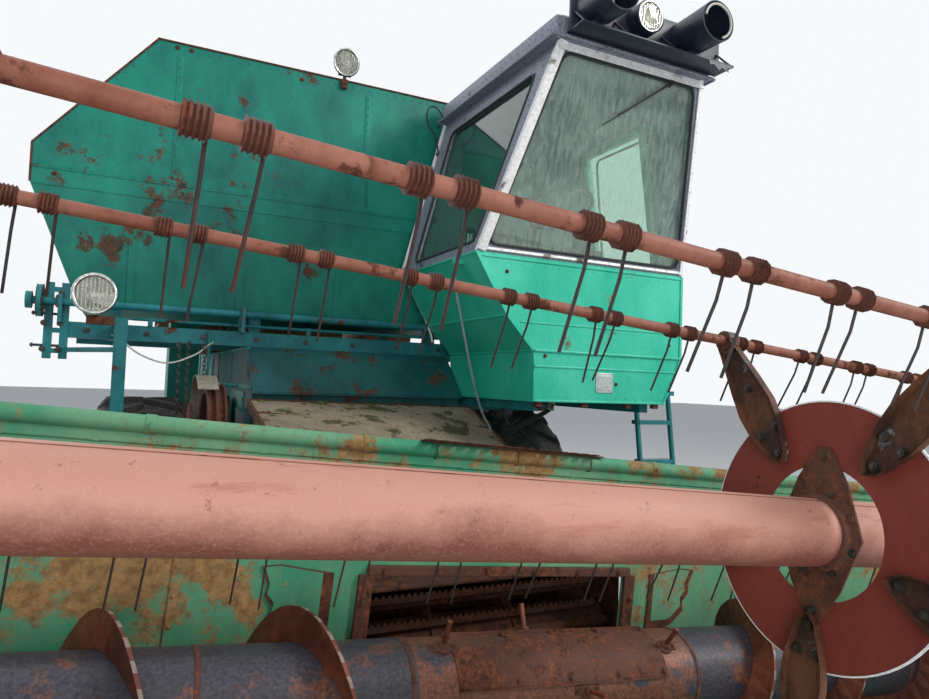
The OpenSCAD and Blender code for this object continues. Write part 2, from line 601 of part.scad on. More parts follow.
module cab_hinges() color("#3fbf9f") placed() for (z = hinge_z) {
    rod_z(hinge_pin, z - 12, z + hinge_h, door_x, door_hy);
    box([door_x - 6, door_hy - 6, z - 14], [door_x + 6, door_hy + 12, z - fit]);
    box([cab_x1 - 1, door_hy + 10, z - 14], [door_x + 6, door_y1 + 50, z - fit]);
    box([cab_x1 - 1, door_y1 + 10, z - 14], [cab_x1 + 4, door_y1 + 50, z + hinge_h]);
}
module cab_form(inset, over) hull() {
    box([cab_x0 + inset, cab_front + inset, sill_z - over], [cab_x1 - inset, cab_back - inset, sill_z - over + 0.5]);
    box([roof_x0 + inset, cab_front - screen_lean + inset, eave_z + over - 0.5], [roof_x1 - inset, cab_back - inset, eave_z + over]);
}
module cab_frame() color("#8e97a8") placed() difference() {
    cab_form(0, -lay);
    cab_form(cab_wall, 2);
    // Windscreen
    along(600, cab_front - 400) polygon([[cab_x0 + 55, sill_z + 40], [roof_x0 + 45, eave_z - 45],
        [roof_x1 - 45, eave_z - 45], [cab_x1 - 50, sill_z + 40]]);
    // Window over the feeder and, opposite, the doorway
    across(500, cab_x0 + 100) polygon([[cab_front + 70, sill_z + 60], [cab_front - 130, eave_z - 110],
        [cab_back - 160, eave_z - 110], [cab_back - 160, sill_z + 60]]);
    across(400, cab_x1 - 100) polygon([[door_y0, sill_z - 5], [door_y0, eave_z - 90], [door_y1, eave_z - 90], [door_y1, sill_z - 5]]);
    // Rear window
    along(300, cab_back - 150) polygon([[cab_x0 + 380, sill_z + 300], [cab_x0 + 380, eave_z - 160],
        [cab_x1 - 420, eave_z - 160], [cab_x1 - 420, sill_z + 300]]);
}
roof_h = 190;
module cab_roof() color("#7e8796") placed() {
    difference() {
        hull() {
            box([roof_x0 - 25, cab_front - screen_lean - 40, eave_z], [roof_x1 + 25, cab_back + 30, eave_z + roof_h - 60]);
            box([roof_x0 + 60, cab_front - screen_lean + 60, eave_z], [roof_x1 - 60, cab_back - 60, eave_z + roof_h]);
        }
        box([roof_x0 + 60, cab_front - screen_lean + 60, eave_z - 1], [roof_x1 - 60, cab_back - 60, eave_z + 60]);
    }
    roof_visor();
}
visor_y = cab_front - screen_lean - 40;
module roof_visor() color("#1d2536") {
    box([roof_x0 + 20, visor_y - 130, eave_z + 20], [roof_x1 + 60, visor_y, eave_z + 45]);
    box([roof_x0 + 20, visor_y - 20, eave_z + 45], [roof_x1 + 60, visor_y, eave_z + 240]);
    for (x = [700, 1310]) difference() {
        rod_y(210, visor_y, visor_y - 270, x, eave_z + 150);
        rod_y(190, visor_y - 30, visor_y - 300, x, eave_z + 150);
    }
    rod_y(170, visor_y, visor_y - 90, 1010, eave_z + 170);
}
module cab_glass() color("#9fc4bd") placed() {
    // Panes let into the middle of the walls, in the same planes
    intersection() {
        difference() { cab_form(17, 2); cab_form(23, 4); }
        union() {
            along(600, cab_front - 400) polygon([[cab_x0 + 55 + lay, sill_z + 40 + lay], [roof_x0 + 45 + lay, eave_z - 45 - lay],
                [roof_x1 - 45 - lay, eave_z - 45 - lay], [cab_x1 - 50 - lay, sill_z + 40 + lay]]);
            across(420, cab_x0 + 100) polygon([[cab_front + 70 + lay, sill_z + 60 + lay], [cab_front - 130 + lay, eave_z - 110 - lay],
                [cab_back - 160 - lay, eave_z - 110 - lay], [cab_back - 160 - lay, sill_z + 60 + lay]]);
            along(300, cab_back - 150) polygon([[cab_x0 + 380 + lay, sill_z + 300 + lay], [cab_x0 + 380 + lay, eave_z - 160 - lay],
                [cab_x1 - 420 - lay, eave_z - 160 - lay], [cab_x1 - 420 - lay, sill_z + 300 + lay]]);
        }
    }
}
wheel_c = [1000, cab_front + 330, 2610];
module cab_interior() color("#3a3a3c") placed() {
    // Seat
    box([770, cab_back - 560, floor_top + lay], [1190, cab_back - 160, floor_z0 + 330]);
    box([740, cab_back - 620, floor_z0 + 330], [1220, cab_back - 130, floor_z0 + 430]);
    box([740, cab_back - 220, floor_z0 + 430], [1220, cab_back - 130, floor_z0 + 900]);
    // Steering column and wheel
    rod_z(110, floor_top + lay, floor_top + 26, wheel_c.x, cab_front + 180);
    strut(60, [wheel_c.x, cab_front + 180, floor_top + 24], wheel_c, 24);
    translate(wheel_c) rotate([-25, 0, 0]) {
        rotate_extrude($fn = 64) translate([200, 0]) circle(d = 26, $fn = 24);
        for (a = [90, 210, 330]) rotate([0, 0, a]) rod_x(18, 20, 200, 0, 0, 16);
        cylinder(d = 90, h = 40, center = true);
    }
    // Lever console beside the seat
    box([440, cab_front + 330, 2200], [735, cab_back - 200, 2290]);
    box([675, cab_front + 450, floor_top + lay], [735, cab_back - 300, 2200]);
    for (i = [0 : 3]) rod_z(16, 2290, 2420 + 25 * i, 520 + (i % 2) * 70, cab_front + 390 + i * 100, 16);
}
// The doorway's outline follows the wall, which leans in above the sill
module door_slab(x_in, x_out, y0, y1, z0, z1) {
    levels = z0 < sill_z ? [z0, sill_z, z1] : [z0, z1];
    outer = [for (z = levels) [cab_x1 - x_out - lean(z), z]];
    inner = [for (i = [len(levels) - 1 : -1 : 0]) [cab_x1 - x_in - lean(levels[i]), levels[i]]];
    along(y1 - y0, y0) polygon(concat(outer, inner));
}
function lean(z) = (cab_x1 - roof_x1) * max(0, z - sill_z) / (eave_z - sill_z);
door_x = cab_x1 + 14;
door_hy = door_y1 - 12;
// Wider gap at the free edge, which swings past the post that leans in
swing_gap = 16;
module cab_door() color("#3fbf9f") placed() {
    difference() {
        door_slab(cab_wall, 0, door_y0 + swing_gap, door_y1 - free, floor_z0 + 60 + free, eave_z - 90 - free);
        door_slab(cab_wall + 20, -20, door_y0 + 70, door_y1 - 70, sill_z + 60, eave_z - 150);
    }
    // Knuckles of the two hinges and the handle
    for (z = hinge_z) difference() {
        union() {
            rod_z(22, z, z + hinge_h, door_x, door_hy);
            box([cab_x1 - 2, door_hy - 30, z + 5], [door_x, door_hy, z + hinge_h - 5]);
        }
        rod_z(hinge_pin + fit, z - 1, z + hinge_h + 1, door_x, door_hy);
    }
    box([cab_x1, door_y0 + 60, sill_z - 100], [cab_x1 + 35, door_y0 + 90, sill_z - 70]);
    box([cab_x1 + 20, door_y0 + 60, sill_z - 100], [cab_x1 + 35, door_y0 + 190, sill_z - 70]);
}
module door_glass() color("#9fc4bd") placed()
    door_slab(cab_wall / 2 + 3, cab_wall / 2 - 3, door_y0 + 70 + lay, door_y1 - 70 - lay, sill_z + 60 + lay, eave_z - 150 - lay);
lamp_x = -132;
lamp_z = tank_top + 105;
module lamp(d) { rod_y(d, 0, -60, 0, 0); rod_y(d * 0.7, 0, 40, 0, 0); }
module work_lamps() color("#b9bcb8") placed() {
    translate([lamp_x, tank_front - 10, lamp_z]) lamp(180);
    box([lamp_x - 15, tank_front - 22, tank_top - 60], [lamp_x + 15, tank_front - lay, lamp_z - 50]);
    translate([-1450, post_y - 40, 1895]) lamp(190);
    rod_z(24, beam_z1, 1895 - 60, -1450, post_y - 20, 24);
    box([-1480, post_y - 45, beam_z1 - 40], [post_x - lay, post_y + 25, beam_z1]);
}
// Landing outside the door, the steps up to it, and the rails beside them, clear of the door's swing
land_z = 1500;
land_x = cab_x1 + 330;
land_front = cab_front + 400;
step_lean = 140;
module ladder() color("#2b6f63") placed() {
    box([cab_x1 + 2, land_front, land_z], [land_x, cab_back, land_z + 30]);
    // Bracket under the cab, against the beam that carries it
    box([cab_x1 - 190 + lay, cab_back - 200, base_bottom - 45], [land_x, cab_back - 150, base_bottom - lay]);
    for (x = [cab_x1 + 20, land_x - 60]) box([x, cab_back - 200, base_bottom - 2], [x + 40, cab_back - 150, land_z + 1]);
    for (x = [cab_x1 + 20, land_x - 40]) strut(34, [x, land_front + 20, land_z + 10], [x, land_front + 20 - step_lean, 520]);
    for (i = [0 : 3]) {
        z = 560 + i * 250;
        y = land_front + 20 - step_lean * (land_z + 10 - z) / (land_z - 510);
        box([cab_x1 + 20, y - 20, z], [land_x - 40, y + 60, z + 26]);
    }
    // Rail across the back of the landing
    for (x = [cab_x1 + 40, land_x - 20]) rod_z(30, land_z + 28, land_z + 900, x, cab_back - 20, 24);
    rod_x(30, cab_x1 + 25, land_x - 5, cab_back - 20, land_z + 900, 24);
    // Grab rail on the cab's side
    rod_z(26, floor_z0 + 80, sill_z - 60, cab_x1 + 60, cab_front + 75, 24);
    for (z = [floor_z0 + 100, sill_z - 80]) rod_x(20, cab_x1 + lay, cab_x1 + 60, cab_front + 75, z, 24);
}
module unloading_auger() color("#1f8a7a") placed() {
    difference() {
        union() {
            rod_z(unload_d + 30, unload_z - 170 + lay, unload_z + 60, unload_x, unload_y);
            rod_y(unload_d, unload_y, unload_y + unload_len, unload_x, unload_z + 10);
            rod_z(unload_d - 20, unload_z - 200, unload_z + 10, unload_x, unload_y + unload_len - unload_d / 2);
            // Collar that the spout's sleeve is clamped on
            rod_z(unload_d, unload_z - spout_drop, unload_z - 200, unload_x, unload_y + unload_len - unload_d / 2);
        }
        rod_z(unload_d - 60, unload_z - spout_drop - 1, unload_z, unload_x, unload_y + unload_len - unload_d / 2);
    }
}

// Feeder house
knee_y = cover_ends[1];
knee_z = feeder_mouth_z[1] + (knee_y - feeder_front) * feeder_slope;
roof_end = [shaft_y - 80, shaft_z + 55];
module feeder_outline(t) polygon([[feeder_front - t, feeder_mouth_z[0] + t], [feeder_front - t, feeder_mouth_z[1] - t],
    [knee_y, knee_z - t], [roof_end.x, roof_end.y - t], [shaft_y + 70 - t, roof_end.y - t], [shaft_y + 70 - t, shaft_z - 140],
    [shaft_y + 20, 960 + t], [shaft_y - 100, 900 + t]]);
module feeder_house() color("#6f6a4c") placed() difference() {
    union() {
        across(feeder_w) feeder_outline(0);
        rod_x(2 * casing_r, -feeder_w / 2, feeder_w / 2, shaft_y, shaft_z);
        // Cross tube that carries the header's tilt pin
        box([-feeder_w / 2, feeder_front, feeder_mouth_z[0] - 40], [feeder_w / 2, feeder_front + 70, feeder_mouth_z[0] + 5]);
        box([-90, feeder_front, feeder_mouth_z[0] - 40], [90, feeder_front + 60, tilt_pin_z + 50]);
        rod_y(tilt_pin_d, feeder_front, back_y + wall + 12, 0, tilt_pin_z);
        for (x = [-lift_x, lift_x], s = [-1, 1]) across(14, x + s * 37)
            polygon([[lift_eye.x - 30, lift_eye.y - 30], [lift_eye.x - 60, lift_eye.y + 110], [lift_eye.x + 60, lift_eye.y + 160],
                [lift_eye.x + 30, lift_eye.y - 30]]);
        for (x = [-lift_x, lift_x]) rod_x(pin_d, x - 44, x + 44, lift_eye.x, lift_eye.y);
    }
    difference() {
        across(feeder_w - 2 * feeder_wall) feeder_outline(feeder_wall);
        box([-90, feeder_front, 0], [90, feeder_front + 60, tilt_pin_z + 50]);
        box([-feeder_w / 2, feeder_front, 0], [feeder_w / 2, feeder_front + 70, feeder_mouth_z[0] + 5]);
    }
    rod_x(2 * (casing_r - feeder_wall), -feeder_w / 2 + feeder_wall, feeder_w / 2 - feeder_wall, shaft_y, shaft_z);
    rod_x(shaft_d + fit, -feeder_w, feeder_w, shaft_y, shaft_z);
}
// The cover is bent: level at the back, and its front follows the header's tilt
module feeder_cover() color("#8a7d68") placed() {
    difference() {
        hull() {
            along(1, cover_ends[0] - 1) polygon([[-cover_w / 2, 1300], [-cover_w / 2, 1403], [cover_w / 2, 1384], [cover_w / 2, 1300]]);
            along(1, cover_ends[1]) polygon([[-cover_w / 2, 1040], [-cover_w / 2, 1232], [cover_w / 2, 1048], [cover_w / 2, 1036]]);
        }
        across(cover_w + 10) polygon([[knee_y - 1, knee_z + lay], [roof_end.x, roof_end.y + lay], [cover_ends[0] + 10, roof_end.y + lay],
            [cover_ends[0] + 10, 900], [knee_y - 1, 900]]);
        rod_x(2 * casing_r + 2 * lay, -cover_w, cover_w, shaft_y, shaft_z);
    }
    // Stud that the control cable ends on
    rod_z(26, cable_foot.z - 45, cable_foot.z - lay, cable_foot.x, cable_foot.y, 24);
}
// Feed chains: a drum at the mouth, small sprockets on the feeder's shaft, slats across
drum_r = 105;
drum_y = feeder_front + 150;
drum_z = feeder_mouth_z[0] + 230;
sprocket_r = 45;
chain_t = 8;
slat_h = 22;
slat_pitch = 190;
slat_w = 30;
slat_half = feeder_w / 2 - feeder_wall - 25;
chain_len = norm([shaft_y - drum_y, shaft_z - drum_z]);
chain_rise = atan2(shaft_z - drum_z, shaft_y - drum_y);
chain_lean = acos((drum_r - sprocket_r) / chain_len);
module chain_band(t) band(drum_r + t, sprocket_r + t, chain_len, chain_lean);
// A band round two circles, whose straight runs touch both: r1 at the origin, r2 at x = len
module band(r1, r2, len, a) {
    circle(r = r1, $fn = 64);
    translate([len, 0]) circle(r = r2, $fn = 64);
    polygon([[r1 * cos(a), r1 * sin(a)], [len + r2 * cos(a), r2 * sin(a)],
        [len + r2 * cos(a), -r2 * sin(a)], [r1 * cos(a), -r1 * sin(a)]]);
}
module on_chain() translate([drum_y, drum_z]) rotate(chain_rise) children();
module feeder_conveyor() color("#5a4a3c") placed() difference() {
    union() {
        rod_x(2 * drum_r, -slat_half, slat_half, drum_y, drum_z);
        rod_x(shaft_d, -feeder_w / 2 + feeder_wall + lay, feeder_w / 2 - feeder_wall - lay, drum_y, drum_z);
        for (x = [-slat_half + 60, -180, 180, slat_half - 60]) {
            across(30, x) on_chain() difference() { chain_band(chain_t); chain_band(-chain_t); }
            across(26, x) on_chain() translate([chain_len, 0]) circle(r = sprocket_r);
        }
        for (s = [-1, 1], d = [90 : slat_pitch : chain_len - 200]) across(2 * slat_half) on_chain()
            rotate(s * (chain_lean - 90)) translate([d, s * (drum_r + slat_h / 2) - slat_h / 2]) square([slat_w, slat_h]);
        for (a = [130, 200]) across(2 * slat_half) on_chain() rotate(a) translate([drum_r - 1, -slat_w / 2]) square([slat_h + 1, slat_w]);
    }
    rod_x(shaft_d + fit, -feeder_w, feeder_w, shaft_y, shaft_z);
}
pulley_x = -880;
module feeder_shaft() color("#7a4632") placed() {
    difference() {
        union() {
            rod_x(shaft_d, -1010, bearing_x + bearing_t + 15, shaft_y, shaft_z);
            rod_x(500, pulley_x - 45, pulley_x + 45, shaft_y, shaft_z, 96);
            rod_x(280, -1000, -985, shaft_y, shaft_z, 96);
        }
        // Grooves and the dished web of the pulley
        for (x = [-22, 22]) translate([pulley_x + x, shaft_y, shaft_z]) rotate([0, 90, 0])
            rotate_extrude($fn = 96) polygon([[251, -16], [251, 16], [228, 6], [228, -6]]);
        for (s = [-1, 1]) difference() {
            rod_x(400, pulley_x + s * 12, pulley_x + s * 46, shaft_y, shaft_z, 96);
            rod_x(120, pulley_x - 50, pulley_x + 50, shaft_y, shaft_z);
        }
    }
}
// Lift cylinders between the front axle and the feeder
module bar_between(a, b, d, from, to, x, fn = 32) {
    v = (b - a) / norm(b - a);
    p = a + v * from;
    q = a + v * to;
    strut(d, [x, p.x, p.y], [x, q.x, q.y], fn);
}
module eye_bore(a, b, play, d, x) {
    v = (b - a) / norm(b - a);
    c = b + v * play.x + [-v.y, v.x] * play.y;
    rod_x(d, x - 60, x + 60, c.x, c.y);
}
module lift_barrels() color("#35504a") placed() {
    for (x = [-lift_x, lift_x]) difference() {
        union() {
            rod_x(pin_d, x - 44, x + 44, lift_base.x, lift_base.y);
            rod_x(58, x - 24, x + 24, lift_base.x, lift_base.y);
            bar_between(lift_base, lift_eye, 50, 20, 75, x);
            bar_between(lift_base, lift_eye, 90, 70, lift_barrel, x);
        }
        bar_between(lift_base, lift_eye, lift_rod_d + rod_gap, lift_barrel - lift_stroke - rod_hold - free, lift_barrel + 1, x);
    }
}
lift_len = norm(lift_eye - lift_base);
module lift_rods() color("#9a9c98") placed() {
    for (x = [-lift_x, lift_x]) difference() {
        union() {
            bar_between(lift_base, lift_eye, lift_rod_d, lift_barrel - lift_stroke - rod_hold, lift_len - 20, x);
            rod_x(64, x - 24, x + 24, lift_eye.x, lift_eye.y);
        }
        eye_bore(lift_base, lift_eye, lift_play, lift_eye_d, x);
    }
}

// Header
module header_trough() color("#3e9a6e") difference() {
    at_header() union() {
        difference() {
            box([-half_w, back_y, floor_z], [half_w, back_y + wall, wall_top]);
            box([-mouth_w / 2, back_y - 5, floor_z + 25], [mouth_w / 2, back_y + wall + 5, 270]);
        }
        // Floor and the rising lip behind the knife
        across(header_w) polygon([[back_y + wall, floor_z - 15], [back_y + wall, floor_z + 10], [auger_y - 330, floor_z + 10],
            [knife_y + 110, floor_z + 60], [knife_y + 110, floor_z + 40], [auger_y - 330, floor_z - 15]]);
        rod_x(top_pipe_d, -half_w, half_w, back_y, wall_top + 26);
        box([-half_w, back_y - 8, wall_top - 30], [half_w, back_y + wall, wall_top + 6]);
        // Beams behind the wall
        box([-half_w, back_y + wall, floor_z - 15], [half_w, back_y + wall + rear_beam, floor_z - 15 + rear_beam]);
        for (x = [-1900, -1300, 1220, 1820]) box([x, back_y + wall, floor_z], [x + 80, back_y + wall + rear_beam, wall_top]);
    }
    placed() rod_y(tilt_pin_d + fit, -3000, -2000, 0, tilt_pin_z);
}
module side_outline() polygon([[back_y + wall + rear_beam, floor_z - 15], [back_y + wall + rear_beam, wall_top + 60],
    [back_y - 160, wall_top + 60], [-3000, 230], [knife_y + 60, -120], [knife_y, floor_z + 40], [knife_y, floor_z - 15]]);
module header_sides() color("#3e9a6e") at_header() both_sides() difference() {
    union() {
        across(wall, half_w + wall / 2 + lay) side_outline();
        // Pins of the reel arms and of their cylinders
        rod_x(40, half_w + wall, arm_x + arm_w / 2 + 12, reel_pivot_y, reel_pivot_z);
        rod_x(pin_d, half_w + wall, arm_x + 32, reel_base.x, reel_base.y);
        // Divider in front of the side wall
        hull() {
            box([half_w + lay, knife_y - 2, floor_z - 15], [half_w + 90, knife_y, 60]);
            box([half_w + 20, knife_y - 640, floor_z + 30], [half_w + 32, knife_y - 630, floor_z + 44]);
        }
        // Skid under the wall
        box([half_w + lay, -3200, floor_z - 27], [half_w + 60, -2600, floor_z - 15]);
    }
    rod_x(shaft_d + fit, half_w - 10, half_w + wall + 10, auger_y, 0);
}
guard_pitch = 76.2;
guard_n = floor(header_w / guard_pitch) - 1;
module cutterbar() color("#6a5040") at_header() {
    box([-half_w, knife_y + 42, floor_z + 38], [half_w, knife_y + 110 - lay, floor_z + 50]);
    for (i = [0 : guard_n]) translate([(i - guard_n / 2) * guard_pitch, 0, 0])
        linear_extrude_at(floor_z + 30) polygon([[-14, knife_y + 60], [-14, knife_y - 10], [-4, knife_y - 75], [4, knife_y - 75],
            [14, knife_y - 10], [14, knife_y + 60]]);
}
module linear_extrude_at(z) translate([0, 0, z]) linear_extrude(10) children();
knife_stroke = 38;
module knife() color("#57534e") at_header() translate([0, 0, floor_z + 40.5]) linear_extrude(5) {
    translate([-half_w + 60, knife_y + 10]) square([header_w - 120, 25]);
    for (i = [0 : guard_n - 2]) translate([(i + 1 - guard_n / 2) * guard_pitch, knife_y + 11])
        polygon([[-36, 0], [-8, -62], [8, -62], [36, 0]]);
}
// One ring of four corners per step of the flight's screw surface
flight_step = 15;
flight_t = 10;
function flight_ring(x, a, r0, r1) = [for (c = [[r0, 0], [r1, 0], [r1, flight_t], [r0, flight_t]])
    [x + c.y, auger_y + c.x * cos(a), c.x * sin(a)]];
module flight(x0, x1, hand) {
    n = floor(abs(x1 - x0 - flight_t) / flight_pitch * 360 / flight_step);
    r0 = (auger_d / 2 + lay) / cos(flight_step / 2);
    pts = [for (i = [0 : n]) each flight_ring(x0 + i * flight_pitch * flight_step / 360, hand * i * flight_step, r0, flight_d / 2)];
    sides = [for (i = [0 : n - 1], k = [0 : 3])
        [4 * i + k, 4 * i + (k + 1) % 4, 4 * (i + 1) + (k + 1) % 4, 4 * (i + 1) + k]];
    ends = [[3, 2, 1, 0], [4 * n, 4 * n + 1, 4 * n + 2, 4 * n + 3]];
    flip = hand < 0;
    function turn(f) = flip ? [for (j = [len(f) - 1 : -1 : 0]) f[j]] : f;
    polyhedron(pts, [for (f = concat(sides, ends)) turn(f)], convexity = 10);
}
bare = 520;
finger_r = 245;
module header_auger() color("#6a5a58") at_header() {
    union() {
        rod_x(auger_d, -half_w + 20, half_w - 20, auger_y, 0, 96);
        rod_x(shaft_d, -half_w - wall - 20, half_w + wall + 20, auger_y, 0);
        for (i = [0 : 7]) translate([-420 + i * 120, auger_y, 0]) rotate([i * 105 + 20, 0, 0]) rod_z(16, 100, finger_r, 0, 0, 16);
    }
    flight(-half_w + 30, -bare, 1);
    flight(bare, half_w - 30, -1);
}

// Reel: arms, central tube, spiders, the ring that keeps the tines upright, and five bats
module reel_arms() color("#2f7a63") at_header() both_sides() difference() {
    union() {
        across(arm_w, arm_x) polygon([[reel_pivot_y + 45, reel_pivot_z - 40], [reel_pivot_y + 45, reel_pivot_z + 40],
            [reel_y - 60, reel_z + 45], [reel_y - 60, reel_z - 45]]);
        rod_x(130, arm_x - arm_w / 2 - 15, arm_x + arm_w / 2 + 15, reel_y, reel_z);
        for (s = [-1, 1]) across(10, arm_x + s * 25) polygon([[reel_eye.x - 30, reel_eye.y - 25],
            [reel_eye.x - 30, reel_z + 20], [reel_eye.x + 30, reel_z + 20], [reel_eye.x + 30, reel_eye.y - 25]]);
        rod_x(pin_d, arm_x - 28, arm_x + 28, reel_eye.x, reel_eye.y);
    }
    rod_x(40 + fit, arm_x - 100, arm_x + 100, reel_pivot_y, reel_pivot_z);
    rod_x(shaft_d + fit, arm_x - 100, arm_x + 100, reel_y, reel_z);
    // Room for the cylinder's eye between the cheeks
    difference() {
        translate([arm_x - 20, reel_eye.x - 60, reel_eye.y - 60]) cube([40, 120, 100]);
        rod_x(pin_d, arm_x - 28, arm_x + 28, reel_eye.x, reel_eye.y);
    }
}
module reel_barrels() color("#35504a") at_header() both_sides() difference() {
    union() {
        rod_x(56, arm_x - 20, arm_x + 20, reel_base.x, reel_base.y);
        bar_between(reel_base, reel_eye, 60, 20, reel_barrel, arm_x);
    }
    bar_between(reel_base, reel_eye, reel_rod_d + rod_gap, reel_barrel - reel_stroke - rod_hold - free, reel_barrel + 1, arm_x);
    rod_x(pin_d + fit, arm_x - 60, arm_x + 60, reel_base.x, reel_base.y);
}
reel_cyl_len = norm(reel_eye - reel_base);
module reel_rods() color("#9a9c98") at_header() both_sides() difference() {
    union() {
        bar_between(reel_base, reel_eye, reel_rod_d, reel_barrel - reel_stroke - rod_hold, reel_cyl_len - 18, arm_x);
        rod_x(54, arm_x - 16, arm_x + 16, reel_eye.x, reel_eye.y);
    }
    eye_bore(reel_base, reel_eye, reel_play, reel_eye_d, arm_x);
}
module reel_tube() color("#c07a6c") at_header() union() {
    rod_x(reel_tube_d, -reel_half, reel_half, reel_y, reel_z, 64);
    rod_x(shaft_d, -arm_x - arm_w / 2, arm_x + arm_w / 2, reel_y, reel_z);
}
module bat_place(k) translate([0, reel_y - bat_circle_r * cos(bat_angles[k]), reel_z + bat_circle_r * sin(bat_angles[k])]) children();
module reel_spiders() color("#7a3026") at_header() for (x = spider_x) translate([x, reel_y, reel_z]) difference() {
    union() {
        rod_x(disc_d, -4, 4, 0, 0, 96);
        for (a = bat_angles) rotate([-a, 0, 0]) {
            across(10, -7) polygon([[-200, -34], [-disc_d / 2, -50], [-bat_circle_r, -22], [-bat_circle_r, 22],
                [-disc_d / 2, 50], [-200, 34]]);
            rod_x(bat_d + 26, -22, 14, -bat_circle_r, 0);
        }
    }
    difference() {
        rod_x(disc_d / 2, -30, 30, 0, 0);
        across(40) polygon([[0, -190], [60, -120], [110, 0], [60, 120], [0, 190], [-60, 120], [-110, 0], [-60, -120]]);
    }
    rod_x(reel_tube_d + 2 * lay, -30, 30, 0, 0);
    for (a = bat_angles) rotate([-a, 0, 0]) rod_x(bat_d + fit, -40, 40, -bat_circle_r, 0);
}
ring_x = -half_w + 25;
ring_pin_d = 20;
module reel_ring() color("#5a4038") at_header() translate([ring_x, reel_y - crank_r, reel_z]) across(10) difference() {
    union() {
        circle(d = 380, $fn = 96);
        for (a = bat_angles) rotate(-a) {
            polygon([[-150, -24], [-bat_circle_r, -18], [-bat_circle_r, 18], [-150, 24]]);
            translate([-bat_circle_r, 0]) circle(d = 46);
        }
    }
    circle(d = 260, $fn = 96);
    for (a = bat_angles) rotate(-a) translate([-bat_circle_r, 0]) circle(d = ring_pin_d + fit);
}
pair_n = floor((bat_half - 110) / pair_pitch);
module bat(k) color("#a5604f") at_header() bat_place(k) union() {
    rod_x(bat_d, -bat_half, bat_half, 0, 0);
    for (i = [-pair_n : pair_n], s = [-1, 1]) translate([i * pair_pitch + pair_offset + s * coil_gap / 2, 0, 0]) {
        rod_x(coil_d, -coil_len / 2, coil_len / 2, 0, 0, 24);
        rotate([tine_lean, 0, 0]) rod_z(tine_d, -tine_len, -bat_d / 2 - 2, coil_len / 2 - tine_d / 2 - 1, 0, 16);
    }
    // Crank whose pin runs in the ring
    box([-bat_half - 8, -crank_r - 20, -14], [-bat_half, 14, 14]);
    rod_x(ring_pin_d, ring_x - 12, -bat_half, -crank_r, 0);
}

chassis();
front_axle();
rear_axle();
thresher_body();
straw_hood();
straw_walkers();
cleaning_shoe();
grain_tank();
tank_frame();
tank_shaft();
engine_block();
engine_fittings();
elevators();
side_drives();
hydraulic_hose(hose_1_route);  // hydraulic_hose_1
hydraulic_hose(hose_2_route);  // hydraulic_hose_2
control_cable();
cab_base();
cab_frame();
cab_roof();
cab_glass();
cab_interior();
cab_door();
door_glass();
work_lamps();
ladder();
unloading_auger();
feeder_house();
feeder_cover();
feeder_conveyor();
feeder_shaft();
lift_barrels();
lift_rods();
header_trough();
header_sides();
cutterbar();
knife();
header_auger();
reel_arms();
reel_barrels();
reel_rods();
reel_tube();
reel_spiders();
reel_ring();
bat(0);  // bat_1
bat(1);  // bat_2
bat(2);  // bat_3
bat(3);  // bat_4
bat(4);  // bat_5
front_tyre(1);  // front_tyre_l
front_tyre(-1);  // front_tyre_r
front_rim(1);  // front_rim_l
front_rim(-1);  // front_rim_r
rear_tyre(1);  // rear_tyre_l
rear_tyre(-1);  // rear_tyre_r
rear_rim(1);  // rear_rim_l
rear_rim(-1);  // rear_rim_r
knuckle(1);  // knuckle_l
knuckle(-1);  // knuckle_r
tie_rod();
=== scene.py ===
"""Finishes and small parts of a worn combine harvester, laid out as an add-on and run as a script."""

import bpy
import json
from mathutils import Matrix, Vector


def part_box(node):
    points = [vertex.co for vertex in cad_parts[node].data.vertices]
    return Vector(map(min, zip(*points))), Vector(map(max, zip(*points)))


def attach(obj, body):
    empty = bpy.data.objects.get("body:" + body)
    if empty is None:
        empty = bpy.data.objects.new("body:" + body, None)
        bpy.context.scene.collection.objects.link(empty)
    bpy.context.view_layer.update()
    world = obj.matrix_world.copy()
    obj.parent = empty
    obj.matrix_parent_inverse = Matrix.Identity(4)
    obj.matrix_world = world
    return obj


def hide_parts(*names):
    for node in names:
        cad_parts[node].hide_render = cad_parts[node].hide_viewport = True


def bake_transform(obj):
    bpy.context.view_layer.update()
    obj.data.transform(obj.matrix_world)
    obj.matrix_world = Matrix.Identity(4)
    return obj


bl_info = {
    "name": "Worn combine harvester",
    "version": (1, 1, 0),
    "blender": (4, 5, 0),
    "location": "3D View > Sidebar > Harvester",
    "description": "Weathered finishes, lamps, tines, cab trim, hoses and small parts of a combine harvester",
    "category": "Object",
}

import json
import math
import random

import bmesh
import bpy
from bpy.props import FloatProperty, FloatVectorProperty, IntProperty, PointerProperty
from bpy.types import Operator, Panel, PropertyGroup
from mathutils import Matrix, Vector

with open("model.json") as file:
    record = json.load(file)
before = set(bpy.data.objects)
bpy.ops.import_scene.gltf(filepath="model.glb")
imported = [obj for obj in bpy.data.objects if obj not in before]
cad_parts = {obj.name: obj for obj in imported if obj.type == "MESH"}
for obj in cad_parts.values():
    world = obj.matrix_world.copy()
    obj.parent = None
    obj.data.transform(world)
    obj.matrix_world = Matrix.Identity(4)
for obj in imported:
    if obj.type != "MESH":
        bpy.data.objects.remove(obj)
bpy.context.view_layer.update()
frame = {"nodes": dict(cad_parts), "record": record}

MM = 0.001
SHARP_FROM = math.radians(38)
# The machine's own frame: x = 0 in the middle, y = 0 at the front axle. Sizes below are in its millimetres
TO_ROW = Matrix.Translation((-0.042, 0.050, 0.0))
# The header hangs lower on the machine's left; its own frame starts at the auger's height
HEADER_TILT = math.radians(5.2)
TO_HEADER = TO_ROW @ Matrix.Translation((0, 0, 0.560)) @ Matrix.Rotation(HEADER_TILT, 4, "Y")
QUARTER_X, QUARTER_Y = (Matrix.Rotation(math.pi / 2, 4, axis) for axis in "XY")
